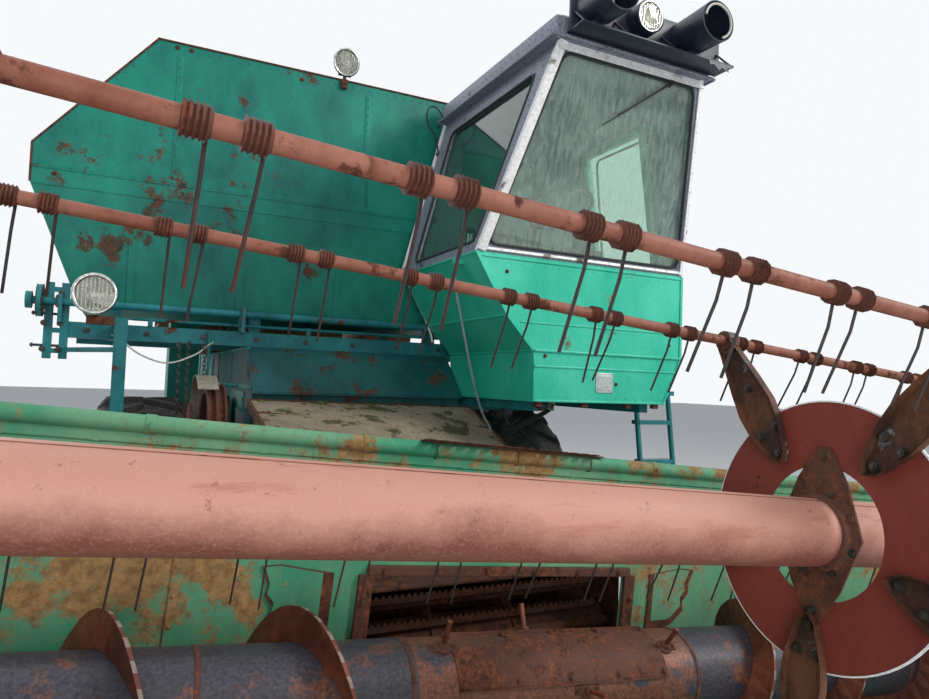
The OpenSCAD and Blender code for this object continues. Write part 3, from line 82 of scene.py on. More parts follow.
# Sizes that repeat the CAD's: cab, tank, reel and bats, auger, the header's back wall and pipe, the shaft
# in front of the tank, and the unloading pipe
SILL, EAVE, CAB_FRONT = 2220, 3270, -1350
# The windscreen leans forward by this much from its sill to the eave
LEAN = 300
TANK_FRONT, TANK_BACK = -200, 950
REEL_Y, REEL_Z, BAT_R = -3386, 666, 585
AUGER_Y, AUGER_R = -2540, 149
WALL_Y, PIPE_Z = -2235, 706
SHAFT_Y, SHAFT_Z = -245, 1895
UNLOAD_X, UNLOAD_Z, UNLOAD_R = 1420, 2770, 119.5
BAT_ANGLES = (53, 125, 197, 269, 341)
SPIDERS = (-2402, 160, 2410)


def linear(code):
    """An sRGB hex code as an opaque linear colour."""
    parts = [int(code[i:i + 2], 16) / 255 for i in (1, 3, 5)]
    return tuple(c / 12.92 if c <= 0.04045 else ((c + 0.055) / 1.055) ** 2.4 for c in parts) + (1.0,)


def mm(x, y, z):
    """A point given in millimetres, as metres."""
    return Vector((x * MM, y * MM, z * MM))


def cad_corners(node):
    """The low and high corner of a node's box, in the machine's millimetres."""
    return [TO_ROW.inverted() @ Vector(corner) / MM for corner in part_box(node)]


def new_piece(name, bm, body, finishes, smooth=False, space=TO_ROW):
    """Turns a bmesh drawn in the machine's or the header's frame into an object that rides on a body.

    finishes names one finish or more, which the piece takes as its materials in that order, the first in its
    first slot.
    Without a body, the caller says what the piece follows."""
    bm.transform(space)
    mesh = bpy.data.meshes.new(name)
    bmesh.ops.recalc_face_normals(bm, faces=bm.faces)
    bm.to_mesh(mesh)
    bm.free()
    if smooth:
        mesh.shade_smooth()
        mesh.set_sharp_from_angle(angle=SHARP_FROM)
    piece = bpy.data.objects.new(name, mesh)
    bpy.context.scene.collection.objects.link(piece)
    for one in finishes.split():
        mesh.materials.append(FINISH[one])
    if body:
        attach(piece, body)
    return piece


def paint_faces(verts, material):
    """Gives the faces at some vertices one of the piece's materials, by its number."""
    for f in {f for v in verts for f in v.link_faces}:
        f.material_index = material


def edges_of(verts):
    """The edges at some vertices, each one once, in an order that every run repeats."""
    return list(dict.fromkeys(e for v in verts for e in v.link_edges))


def block(bm, low, high, round_by=0.0, material=0, place=None):
    """A box between two corners, with its edges rounded."""
    low, high = mm(*low), mm(*high)
    size = high - low
    shape = Matrix.Translation((low + high) / 2) @ Matrix.Diagonal((*size, 1))
    made = bmesh.ops.create_cube(bm, size=1, matrix=place @ shape if place else shape)["verts"]
    paint_faces(made, material)
    if round_by:
        bmesh.ops.bevel(bm, geom=edges_of(made), offset=min(round_by * MM, min(size) * 0.45),
            affect="EDGES", segments=2, profile=0.5, material=-1)


def tapered(bm, low, high, round_by=0.0, material=0):
    """A box whose bottom and top rectangles differ. low and high are (x0, y0, x1, y1, z)."""
    made = bmesh.ops.create_cube(bm, size=1)["verts"]
    for v in made:
        x0, y0, x1, y1, z = high if v.co.z > 0 else low
        v.co = mm(x1 if v.co.x > 0 else x0, y1 if v.co.y > 0 else y0, z)
    paint_faces(made, material)
    if round_by:
        bmesh.ops.bevel(bm, geom=edges_of(made), offset=round_by * MM, affect="EDGES", segments=3,
            profile=0.5, material=-1)


def at(x, y, z):
    """A frame moved to a point in millimetres."""
    return Matrix.Translation(mm(x, y, z))


def aim(a, b):
    """A frame at a whose Z axis points to b."""
    return Matrix.Translation(a) @ (b - a).normalized().to_track_quat("Z", "Y").to_matrix().to_4x4()


def facing(point, normal):
    """A frame at a point in millimetres whose Z axis is the normal."""
    return at(*point) @ Vector(normal).to_track_quat("Z", "Y").to_matrix().to_4x4()


def bar(bm, a, b, radius, sides=16, material=0, radius_end=None):
    """A round bar from a to b."""
    a, b = mm(*a), mm(*b)
    place = aim(a, b) @ Matrix.Translation((0, 0, (b - a).length / 2))
    made = bmesh.ops.create_cone(bm, cap_ends=True, segments=sides, radius1=radius * MM,
        radius2=(radius if radius_end is None else radius_end) * MM, depth=(b - a).length,
        matrix=place)["verts"]
    paint_faces(made, material)


def strip(bm, a, b, across, wide, thick):
    """A flat bar from a to b. across is the direction of its width."""
    a, b, across = mm(*a), mm(*b), Vector(across).normalized()
    along = (b - a).normalized()
    up = along.cross(across).normalized()
    across = up.cross(along).normalized()
    turn = Matrix((across, along, up)).transposed().to_4x4()
    size = Matrix.Diagonal((wide * MM, (b - a).length, thick * MM, 1))
    bmesh.ops.create_cube(bm, size=1, matrix=Matrix.Translation((a + b) / 2) @ turn @ size)


def turned(bm, profile, place, steps=32, material=0):
    """Spins an open profile of (radius, height) round the Z axis of place."""
    verts = [bm.verts.new((r * MM, 0, h * MM)) for r, h in profile]
    edges = [bm.edges.new(pair) for pair in zip(verts, verts[1:])]
    made = bmesh.ops.spin(bm, geom=verts + edges, cent=(0, 0, 0), axis=(0, 0, 1), angle=math.tau, steps=steps,
        use_merge=True)
    front = [v for v in made["geom_last"] if isinstance(v, bmesh.types.BMVert)] + verts
    linked = dict.fromkeys(front)
    while front:
        for e in front.pop().link_edges:
            for v in e.verts:
                if v not in linked:
                    linked[v] = None
                    front.append(v)
    bmesh.ops.remove_doubles(bm, verts=list(linked), dist=1e-6)
    linked = [v for v in linked if v.is_valid]
    bmesh.ops.transform(bm, matrix=place, verts=linked)
    paint_faces(linked, material)


def ring(bm, place, radius, thick, steps=32, sides=8, material=0):
    """A round ring in the XY plane of place."""
    turned(bm, [(radius + thick * math.cos(math.tau * i / sides), thick * math.sin(math.tau * i / sides))
        for i in range(sides + 1)], place, steps, material)


def plate(bm, outline, place, thick, material=0):
    """A flat outline in the XY plane of place, given a thickness along its Z axis."""
    face = bm.faces.new([bm.verts.new((x * MM, y * MM, 0)) for x, y in outline])
    low = list(face.verts)
    made = bmesh.ops.extrude_face_region(bm, geom=[face])["geom"]
    high = [g for g in made if isinstance(g, bmesh.types.BMVert)]
    bmesh.ops.translate(bm, vec=(0, 0, thick * MM), verts=high)
    bmesh.ops.transform(bm, matrix=place, verts=low + high)
    paint_faces(low + high, material)


def holed_plate(bm, outer, inner, place, thick, material=0):
    """A plate with a hole. Both outlines have as many points."""
    loops = []
    for outline in (outer, inner):
        verts = [bm.verts.new((x * MM, y * MM, 0)) for x, y in outline]
        loops.append((verts, [bm.edges.new((a, b)) for a, b in zip(verts, verts[1:] + verts[:1])]))
    flat = bmesh.ops.bridge_loops(bm, edges=loops[0][1] + loops[1][1])["faces"]
    made = bmesh.ops.extrude_face_region(bm, geom=flat)["geom"]
    high = [g for g in made if isinstance(g, bmesh.types.BMVert)]
    bmesh.ops.translate(bm, vec=(0, 0, thick * MM), verts=high)
    every = loops[0][0] + loops[1][0] + high
    bmesh.ops.transform(bm, matrix=place, verts=every)
    paint_faces(every, material)


def swept(bm, points, radius, sides=8, material=0, closed=False):
    """A round bar along points in metres."""
    loops, side = [], None
    count = len(points)
    for i, p in enumerate(points):
        ahead = points[(i + 1) % count] if closed else points[min(i + 1, count - 1)]
        behind = points[i - 1] if closed else points[max(i - 1, 0)]
        way = (ahead - behind).normalized()
        side = side or way.orthogonal()
        side = (side - way * side.dot(way)).normalized()
        place = Matrix((side, way.cross(side), way)).transposed().to_4x4()
        place.translation = p
        made = bmesh.ops.create_circle(bm, cap_ends=False, radius=radius * MM, segments=sides,
            matrix=place)["verts"]
        loops.append((made, edges_of(made)))
    pairs = list(zip(loops, loops[1:])) + ([(loops[-1], loops[0])] if closed else [])
    for a, b in pairs:
        bmesh.ops.bridge_loops(bm, edges=a[1] + b[1])
    if not closed:
        bm.faces.new(loops[0][0])
        bm.faces.new(loops[-1][0])
    for loop in loops:
        paint_faces(loop[0], material)


def through(route, step):
    """A smooth curve through points, in metres, with a point every step millimetres."""
    points, line = [mm(*p) for p in route], []
    for i in range(len(points) - 1):
        a, b, c, d = points[max(0, i - 1)], points[i], points[i + 1], points[min(len(points) - 1, i + 2)]
        parts = max(1, round((c - b).length / (step * MM)))
        for j in range(parts):
            t = j / parts
            line.append(0.5 * (2 * b + (c - a) * t + (2 * a - 5 * b + 4 * c - d) * t ** 2 +
                (3 * b - a - 3 * c + d) * t ** 3))
    return line + [points[-1]]


def rounded(corners, radius):
    """A closed line in metres through corners in millimetres, each rounded off in four steps."""
    points, line, steps = [mm(*c) for c in corners], [], 4
    for i, p in enumerate(points):
        a, b = points[i - 1], points[(i + 1) % len(points)]
        start, end = p + (a - p).normalized() * radius * MM, p + (b - p).normalized() * radius * MM
        for k in range(steps + 1):
            t = k / steps
            line.append(start * (1 - t) ** 2 + p * 2 * t * (1 - t) + end * t ** 2)
    return line


def shape(make):
    """A small form made once as a mesh, to be repeated."""
    bm = bmesh.new()
    make(bm)
    mesh = bpy.data.meshes.new("shape")
    bm.to_mesh(mesh)
    bm.free()
    return mesh


def repeat(bm, mesh, places):
    """Adds a copy of a small mesh at each place."""
    for place in places:
        copy = mesh.copy()
        copy.transform(place)
        bm.from_mesh(copy)
        bpy.data.meshes.remove(copy)
    bpy.data.meshes.remove(mesh)


def rivets(bm, places, radius):
    """Round heads that stand out along each place's Z axis."""
    profile = [(radius, 0), (radius * 0.9, radius * 0.3), (radius * 0.5, radius * 0.5), (0, radius * 0.55)]
    repeat(bm, shape(lambda b: turned(b, profile, Matrix.Identity(4), 8)), places)


def bolts(bm, places, radius, material=0):
    """Hexagon heads on washers, and the end of the thread."""
    def one(b):
        for r, low, high, sides in ((1.25, 0.0, 0.22, 12), (1.0, 0.22, 0.85, 6), (0.5, 0.85, 1.15, 8)):
            made = bmesh.ops.create_cone(b, cap_ends=True, segments=sides, radius1=r * radius * MM,
                radius2=r * radius * MM * 0.96, depth=(high - low) * radius * MM,
                matrix=Matrix.Translation((0, 0, (high + low) / 2 * radius * MM)))["verts"]
            paint_faces(made, material)
    repeat(bm, shape(one), places)


def row(a, b, count):
    """Points spread evenly from a to b, in millimetres."""
    return [tuple(a[k] + (b[k] - a[k]) * i / (count - 1) for k in range(3)) for i in range(count)]


def rivet_rows(bm, radius, normal, *rows):
    """Rivets along straight rows, each given by its two ends and its count."""
    rivets(bm, [facing(p, normal) for ends in rows for p in row(*ends)], radius)


def circle(radius, count, start=0.0):
    """Points (x, y) spread evenly round a circle."""
    return [(radius * math.cos(start + math.tau * i / count),
        radius * math.sin(start + math.tau * i / count)) for i in range(count)]


def toothed(count, marks):
    """The outline of a toothed wheel: marks are each tooth's (radius, angle from the tooth's middle)."""
    return [(radius * math.cos(math.tau * i / count + angle),
        radius * math.sin(math.tau * i / count + angle)) for i in range(count) for radius, angle in marks]


def add(tree, kind, settings=None, links=None, out=0):
    """Adds a node, sets what it holds, joins its inputs, and gives back one of its outputs."""
    node = tree.nodes.new(kind)
    for key, value in (settings or {}).items():
        if key == "stops":
            marks = node.color_ramp.elements
            while len(marks) < len(value):
                marks.new(0.5)
            for mark, (place, colour) in zip(marks, value):
                mark.position = place
                mark.color = colour if isinstance(colour, tuple) else (colour, colour, colour, 1)
        elif isinstance(key, str) and hasattr(node, key):
            setattr(node, key, value)
        else:
            node.inputs[key].default_value = value
    for key, source in (links or {}).items():
        tree.links.new(source, node.inputs[key])
    return node.outputs[out]


def start_finish(name):
    """An empty material, its node tree, and object coordinates in metres."""
    material = bpy.data.materials.new(name)
    material.use_nodes = True
    material.node_tree.nodes.clear()
    tree = material.node_tree
    return material, tree, add(tree, "ShaderNodeTexCoord", out=3)


def end_finish(tree, settings, links, height=None, depth=0.002):
    """Principled surface, with a bump from a height."""
    if height is not None:
        links = dict(links, Normal=add(tree, "ShaderNodeBump", {"Strength": 0.6, "Distance": depth},
            {"Height": height}))
    surface = add(tree, "ShaderNodeBsdfPrincipled", settings, links)
    out = tree.nodes.new("ShaderNodeOutputMaterial")
    tree.links.new(surface, out.inputs["Surface"])


def noise(tree, where, scale, detail=6, rough=0.65, **more):
    """A Noise Texture's value at a place."""
    return add(tree, "ShaderNodeTexNoise", {"Scale": scale, "Detail": detail, "Roughness": rough, **more},
        {"Vector": where})


def maths(tree, operation, a, b=None, c=None):
    """A Math node whose inputs are numbers or sockets."""
    settings, links = {"operation": operation}, {}
    for i, value in enumerate((a, b, c)):
        if isinstance(value, (int, float)):
            settings[i] = value
        elif value is not None:
            links[i] = value
    return add(tree, "ShaderNodeMath", settings, links)


def blend_colours(tree, share, a, b):
    """Mixes two colours, given as hex codes or sockets."""
    settings, links = {"data_type": "RGBA"}, {0: share}
    for i, value in ((6, a), (7, b)):
        if isinstance(value, str):
            settings[i] = linear(value)
        else:
            links[i] = value
    return add(tree, "ShaderNodeMix", settings, links, out=2)


def ramp(tree, value, low, high, top=1.0):
    """Black up to low, and rising to the grey of top at high."""
    return add(tree, "ShaderNodeValToRGB", {"stops": [(low, 0.0), (high, top)]}, {"Fac": value})


def near(tree, where, spots, space=TO_ROW):
    """How far a point lies inside given spots: each is a centre and radius in millimetres, and a share."""
    total = None
    for x, y, z, radius, share in spots:
        away = add(tree, "ShaderNodeVectorMath", {"operation": "DISTANCE", 1: tuple(space @ mm(x, y, z))},
            {0: where}, 1)
        inside = add(tree, "ShaderNodeMapRange", {"From Min": 0.0, "From Max": radius * MM, "To Min": share,
            "To Max": 0.0}, {"Value": away})
        total = inside if total is None else maths(tree, "ADD", total, inside)
    return total


def header_place(tree, where):
    """Object coordinates turned into the header's own frame, as x, y and z in metres."""
    home = TO_HEADER.inverted()
    turned_to = add(tree, "ShaderNodeMapping", {"Location": tuple(home.translation),
        "Rotation": tuple(home.to_euler())}, {"Vector": where})
    split = tree.nodes.new("ShaderNodeSeparateXYZ")
    tree.links.new(turned_to, split.inputs[0])
    return split.outputs


def worn_paint(name, paint, pale, rust, dark_rust, rust_from, drip_from, gloss, patch, spots=(), space=TO_ROW,
        fade=(0.34, 0.74)):
    """Enamel on sheet steel, sun-bleached in clouds, with rust in patches and in runs down the sheet.

    rust_from and drip_from are the noise levels over which the paint has gone: lower means more rust."""
    material, tree, where = start_finish(name)
    # Patches of 0.3 m that break up towards their edges, more where spots say so
    cloud = noise(tree, where, patch, 10, 0.68)
    if spots:
        cloud = maths(tree, "ADD", cloud, near(tree, where, spots, space))
    bleach = noise(tree, add(tree, "ShaderNodeMapping", {"Location": (3, 1, 2), "Scale": (1, 1, 0.6)},
        {"Vector": where}), patch * 0.8, 9, 0.72)
    # Runs: ten times as long as wide, straight down
    runs = noise(tree, add(tree, "ShaderNodeMapping", {"Scale": (14, 14, 1.2)}, {"Vector": where}), 1.6, 7,
        0.6)
    # Grains of 8 mm, drawn coarse enough to show
    grain = noise(tree, where, 120, 4, 0.7)
    edge = maths(tree, "MULTIPLY_ADD", grain, 0.12, maths(tree, "SUBTRACT", cloud, 0.06))
    mask = maths(tree, "MAXIMUM", ramp(tree, edge, rust_from - 0.015, rust_from + 0.03),
        ramp(tree, runs, drip_from, drip_from + 0.12, 0.85))
    chips = noise(tree, where, 34, 5, 0.75)
    mask = maths(tree, "MAXIMUM", mask, ramp(tree, chips, rust_from + 0.075, rust_from + 0.10))
    faded = blend_colours(tree, ramp(tree, bleach, *fade), paint, pale)
    # A film of dust and lichen that dulls the paint in fine dots of 15 mm
    film = ramp(tree, noise(tree, where, 60, 8, 0.8), 0.50, 0.72, 0.35)
    faded = blend_colours(tree, film, faded, dark_rust)
    rusty = blend_colours(tree, ramp(tree, chips, 0.36, 0.66), dark_rust, rust)
    rough = add(tree, "ShaderNodeMapRange", {"To Min": gloss, "To Max": 0.88}, {"Value": mask})
    height = maths(tree, "MULTIPLY_ADD", mask, grain, cloud)
    end_finish(tree, {"Specular IOR Level": 0.3}, {"Base Color": blend_colours(tree, mask, faded, rusty),
        "Roughness": rough}, height)
    return material


def bare_metal(name, bright, dull, rust, rust_from, rough, metal=0.85, grain_scale=60):
    """Steel or alloy without paint: streaks of brightness, stains where rust has come through."""
    material, tree, where = start_finish(name)
    grain = noise(tree, where, grain_scale, 4, 0.7)
    stain = ramp(tree, noise(tree, where, 5, 9), rust_from, rust_from + 0.07)
    steel = blend_colours(tree, ramp(tree, grain, 0.36, 0.64), dull, bright)
    shine = add(tree, "ShaderNodeMapRange", {"To Min": metal, "To Max": 0.1}, {"Value": stain})
    dull_by = add(tree, "ShaderNodeMapRange", {"To Min": rough, "To Max": 0.85}, {"Value": stain})
    end_finish(tree, {}, {"Base Color": blend_colours(tree, stain, steel, rust), "Metallic": shine,
        "Roughness": dull_by}, grain, 0.0008)
    return material


def plain_matter(name, colour, shade, rough, scale=30.0, depth=0.001):
    """Rubber, plastic or cloth: two close tones in a fine mottle."""
    material, tree, where = start_finish(name)
    mottle = noise(tree, where, scale)
    end_finish(tree, {"Roughness": rough}, {"Base Color": blend_colours(tree, ramp(tree, mottle, 0.38, 0.62),
        colour, shade)}, mottle, depth)
    return material


def dusty_glass(name, tint, dust_and_reflection, clear, thick, screen=False):
    """Float glass with years of dust on it, in clouds and in runs that rain has drawn down the pane.

    With screen, only the leaning windscreen is thick with a pale film, which is dust and also a painted sky
    reflection, and the other panes are nearly clear."""
    material, tree, where = start_finish(name)
    cloud = noise(tree, where, 3, 8, 0.7)
    # Runs 20 mm wide and half a metre long
    runs = noise(tree, add(tree, "ShaderNodeMapping", {"Scale": (34, 34, 1.3)}, {"Vector": where}), 1.6, 6,
        0.62)
    film = maths(tree, "MULTIPLY_ADD", runs, 0.5, maths(tree, "MULTIPLY", cloud, 0.5))
    veil = add(tree, "ShaderNodeMapRange", {"From Min": 0.38, "From Max": 0.64, "To Min": clear,
        "To Max": thick}, {"Value": film})
    if screen:
        split = tree.nodes.new("ShaderNodeSeparateXYZ")
        tree.links.new(where, split.inputs[0])
        # How far a point lies in front of the screen's plane, in metres: other panes are 60 mm away or more
        front = CAB_FRONT * MM + TO_ROW.translation.y
        above = maths(tree, "SUBTRACT", split.outputs["Z"], SILL * MM)
        plane = maths(tree, "MULTIPLY_ADD", above, LEAN / (EAVE - SILL), split.outputs["Y"])
        away = maths(tree, "ABSOLUTE", maths(tree, "SUBTRACT", plane, front))
        elsewhere = maths(tree, "GREATER_THAN", away, 0.06)
        veil = maths(tree, "MAXIMUM", veil, maths(tree, "MULTIPLY", elsewhere, 0.985))
    # The pale film is dust, and on the windscreen also a painted sky reflection
    end_finish(tree, {"Roughness": 0.03, "IOR": 1.45}, {"Base Color": blend_colours(tree, veil, dust_and_reflection, tint),
        "Transmission Weight": veil})
    return material


def auger_finish(name):
    """Rolled tube scoured to grey-blue steel and rusted at the middle, with red rust on the flights."""
    material, tree, where = start_finish(name)
    x, y, z = header_place(tree, where)
    # Distance from the auger's axis, and where the tube ends, the blade's bright edge and the middle start
    ahead = maths(tree, "SUBTRACT", y, AUGER_Y * MM)
    across = maths(tree, "SQRT", maths(tree, "MULTIPLY_ADD", z, z, maths(tree, "POWER", ahead, 2.0)))
    tube_r, edge_r, middle_x = 0.1515, 0.2485, 0.52
    cloud = noise(tree, where, 5, 10, 0.7)
    grain = noise(tree, where, 90, 5, 0.7)
    tube = blend_colours(tree, ramp(tree, grain, 0.35, 0.65), "#25242C", "#46434E")
    middle = maths(tree, "LESS_THAN", maths(tree, "ABSOLUTE", x), middle_x)
    rust = blend_colours(tree, ramp(tree, grain, 0.35, 0.65), "#4A2A20", "#80503C")
    patchy = ramp(tree, maths(tree, "MULTIPLY_ADD", middle, 0.16, cloud), 0.56, 0.62)
    tube = blend_colours(tree, patchy, tube, rust)
    blade = blend_colours(tree, ramp(tree, cloud, 0.42, 0.62), "#52261C", "#84442C")
    blade = blend_colours(tree, ramp(tree, grain, 0.62, 0.72, 0.7), blade, "#4A2A20")
    blade = blend_colours(tree, maths(tree, "GREATER_THAN", across, edge_r), blade, "#85736A")
    colour = blend_colours(tree, maths(tree, "GREATER_THAN", across, tube_r), tube, blade)
    end_finish(tree, {"Roughness": 0.5, "Metallic": 0.25}, {"Base Color": colour}, grain, 0.0012)
    return material


def tube_finish(name):
    """Rolled tube in faded red oxide, with a painted highlight along its top and painted shade in brown along
    its underside.
    """
    material, tree, where = start_finish(name)
    z = header_place(tree, where)[2]
    cloud = noise(tree, where, 3.2, 10, 0.7)
    grain = noise(tree, where, 150, 5, 0.75)
    # Painted shade under the axis and a painted highlight from about 25 mm above it, with a ragged edge
    raised = maths(tree, "SUBTRACT", z, REEL_Z * MM)
    side = maths(tree, "MULTIPLY_ADD", raised, 5.0, maths(tree, "MULTIPLY_ADD", cloud, 0.9, 0.05))
    colour = blend_colours(tree, ramp(tree, side, 0.25, 0.62), "#7C4436", "#C48C7A")
    colour = blend_colours(tree, ramp(tree, grain, 0.50, 0.74, 0.36), colour, "#D0A698")
    colour = blend_colours(tree, ramp(tree, noise(tree, where, 24, 7, 0.8), 0.60, 0.68, 0.75), colour,
        "#6A3A2C")
    stained = noise(tree, add(tree, "ShaderNodeMapping", {"Scale": (1.2, 9, 9)}, {"Vector": where}), 2.2, 8,
        0.7)
    colour = blend_colours(tree, ramp(tree, stained, 0.58, 0.68, 0.6), colour, "#A0604C")
    end_finish(tree, {"Roughness": 0.55}, {"Base Color": colour}, grain, 0.0009)
    return material


FINISH = {}


def make_finishes(colours):
    """The finish of each material slot, by its name in the record."""
    green, rust = hex_of(colours.paint), hex_of(colours.rust)
    tank_spots = [(-1330, -200, 2600, 420, 0.10), (-700, -200, 2660, 520, 0.09),
        (-1450, -160, 2330, 330, 0.10), (-1100, -200, 3400, 260, 0.08), (300, -200, 2600, 400, 0.07),
        (0, -490, 1500, 500, 0.05)]
    wall_spots = [(0, WALL_Y, PIPE_Z, 900, 0.04), (1300, WALL_Y, PIPE_Z, 700, 0.05),
                  (-1600, WALL_Y, PIPE_Z, 700, 0.04),
                  (-1350, WALL_Y, 140, 620, 0.06), (-2200, WALL_Y, 200, 500, 0.05),
                  (-760, WALL_Y, 60, 260, 0.10),
                  (1300, WALL_Y, 0, 600, 0.06), (2000, WALL_Y, 300, 500, 0.05),
                  (-900, WALL_Y, PIPE_Z, 500, 0.04),
                  (500, WALL_Y, PIPE_Z, 500, 0.07), (-2050, WALL_Y, PIPE_Z, 400, 0.06),
                  (2100, WALL_Y, PIPE_Z, 500, 0.05)]
    FINISH.update({
        # Sprayed alkyd enamel on sheet steel: teal green, bleached paler on the sunny sides, rust in patches
        "green_paint": worn_paint("teal enamel on sheet", green, "#189A82", rust, "#24403C", 0.640, 0.70, 0.5,
                                  3.4,
                                  spots=tank_spots),
        # The same enamel brushed on rolled sections: darker and bluer, oily
        "frame_paint": worn_paint("teal enamel on frames", "#0F5A64", "#2A9296", rust, "#262422", 0.600, 0.64,
                                  0.5, 5.0),
        # Body sheets: the same kind of enamel, bluer and darker than the tank
        "body_paint": worn_paint("teal enamel, soiled", "#0C3E46", "#1F6C6A", "#6A4A30", "#232C2A", 0.600,
                                 0.66, 0.55, 4.0,
                                 spots=[(0, -490, 1500, 500, 0.05), (-400, -350, 1640, 400, 0.05)]),
        # Enamel scoured by straw down to a tan bloom of rust
        "header_paint": worn_paint("teal enamel, scoured by crop", "#2E8A68", "#84AA88", "#A98456", "#75593A",
                                   0.572, 0.60,
                                   0.6, 2.4, spots=wall_spots, space=TO_HEADER),
        # Enamel touched up by brush: pale aqua, thin rust at the seams
        "cab_paint": worn_paint("pale aqua enamel", "#10B494", "#56D6BC", "#8E7A48", "#4E4A30", 0.655, 0.72,
                                0.35, 2.2,
                                spots=[(800, -1350, 1790, 200, 0.13), (680, -1350, 1600, 120, 0.08)]),
        # Hammered alloy sheet, weathered grey-blue with white specks
        "cab_shell": bare_metal("weathered alloy sheet", "#9AA0AE", "#565C6C", "#43474F", 0.62, 0.6, 0.15,
                                110),
        # Injection-moulded plastic, bleached at the edges
        "visor_plastic": plain_matter("navy moulded plastic", "#151B2A", "#232C40", 0.42),
        # Float glass under green dust, with a pale film on the windscreen that is also a painted sky
        # reflection
        "glass": dusty_glass("dusty float glass", "#DAF0E6", "#A2C4B6", 0.66, 0.95, True),
        # Moulded vinyl and painted steel inside the cab
        "interior_plastic": plain_matter("black cab trim", "#2E3034", "#3E4045", 0.7),
        # Plate that has lost its paint: brown rust with darker scale
        "rusty_steel": worn_paint("rusted plate", "#4A2E28", "#664236", "#7E4A32", "#2A1C18", 0.50, 0.56,
                                  0.75, 6.0),
        # Cast and forged parts under old oil
        "dark_steel": bare_metal("oily steel", "#4E4A44", "#302C28", "#5E3A26", 0.55, 0.5, 0.5),
        # Hard-chromed piston rod
        "bright_steel": bare_metal("ground rod", "#B4B6B2", "#8E908C", "#7A5A40", 0.68, 0.25, 0.95),
        # Hot-dip zinc gone dull
        "galvanised": bare_metal("dull galvanised sheet", "#9C9486", "#7A7264", "#7A5234", 0.58, 0.6, 0.5),
        "reel_primer": tube_finish("faded red oxide primer"),
        # Red oxide over thin tube, chalky and brown
        "bat_paint": worn_paint("red oxide on thin tube", "#74402F", "#A06A5A", "#6A3C2A", "#41241C", 0.585,
                                0.62, 0.6,
                                9.0),
        "auger_steel": auger_finish("scoured auger steel"),
        # Bare sheet under dust, grit and moss
        "cover_steel": worn_paint("mossy sheet", "#7A6C5E", "#9C8E7A", "#50502C", "#3C342A", 0.540, 0.60, 0.9,
                                  6.0),
        # Heat-proof enamel under oil and dust
        "engine_paint": worn_paint("oily engine enamel", "#7A4C2C", "#8C5E3C", "#6A4430", "#3E2C22", 0.60,
                                   0.64, 0.55, 6.0),
        "shoe_paint": worn_paint("yellow-brown enamel", "#B9863C", "#CCA060", "#8A5634", "#54361F", 0.56,
                                 0.58, 0.6, 4.0),
        "rim_paint": worn_paint("yellow wheel enamel", "#B9A23C", "#D0BC62", "#8A5A34", "#54381F", 0.575,
                                0.60, 0.5, 6.0),
        # Vulcanised rubber, greyed by sun and dust
        "tyre_rubber": plain_matter("weathered tyre rubber", "#262524", "#454240", 0.85, 18.0, 0.003),
        # Nickel-chrome plate with fine rust freckles
        "lamp_metal": bare_metal("dull chrome", "#C9CCCA", "#8E918E", "#6A5240", 0.60, 0.24, 1.0),
        "hose_rubber": plain_matter("black hose rubber", "#17181A", "#2A2B2D", 0.5, 60.0),
        "cable_sheath": plain_matter("grey cable sheath", "#93A0AA", "#78858F", 0.5, 60.0),
        "drive_steel": worn_paint("dusty drive enamel", "#35504A", "#5A6E66", "#7A5038", "#2E2A26", 0.57, 0.6,
                                  0.6, 7.0),
        # Not slots of their own
        "lens": dusty_glass("pressed lamp glass", "#F2F4EC", "#CFCFC0", 0.55, 0.95),
        "reflector": bare_metal("silvered reflector", "#DADAD0", "#B0AE9E", "#8A8470", 0.62, 0.18, 1.0),
        "gasket": plain_matter("cracked rubber seal", "#1A1B1D", "#2C2D2F", 0.75, 80.0),
        "trim": bare_metal("white-painted alloy strip", "#FAFAFA", "#DADADE", "#6E5A4A", 0.60, 0.45, 0.0, 60),
        "white_wire": plain_matter("white wire", "#C9C9C2", "#A6A69E", 0.6, 60.0),
        "spring_wire": worn_paint("rusted spring wire", "#4E2E26", "#6E4438", "#7A4634", "#30201A", 0.53,
                                  0.56, 0.65,
                                  12.0),
        "tine_wire": bare_metal("dark tine wire", "#382C2A", "#241E1E", "#47291F", 0.56, 0.55, 0.2),
        # Red oxide primer, even and matt, on cut sheet
        "disc_paint": worn_paint("red oxide on disc", "#76302A", "#8C4232", "#54301F", "#3A1F18", 0.66, 0.70,
                                 0.6, 5.0),
        # Pressed arms: dark rust, with pale grey paint left in places
        "arm_rust": worn_paint("rust over grey paint", "#3A251D", "#6E4630", "#8C939B", "#241813", 0.62,
                               0.76, 0.7, 9.0, fade=(0.44, 0.60)),
        "cushion": plain_matter("cracked brown vinyl", "#3E322A", "#54443A", 0.55, 40.0, 0.002),
        "moss": plain_matter("dry moss", "#5C6A22", "#3E4A1E", 0.95, 160.0, 0.004),
        "belt_rubber": plain_matter("fabric belt", "#3A3430", "#4C443E", 0.8, 90.0),
        "tail_red": plain_matter("red lamp plastic", "#8E1F1C", "#A83028", 0.3, 12.0),
        "amber": plain_matter("amber lamp plastic", "#C9741C", "#D98A34", 0.3, 12.0),
        "blank_plate": bare_metal("blank alloy plate", "#C2C8C6", "#9AA4A2", "#7E8A84", 0.62, 0.45, 0.7, 80),
    })


def hex_of(colour):
    """The hex code of a linear colour property."""
    def curve(c):
        return 12.92 * c if c <= 0.0031308 else 1.055 * c ** (1 / 2.4) - 0.055
    return "#" + "".join(f"{round(max(0.0, min(1.0, curve(c))) * 255):02X}" for c in colour[:3])


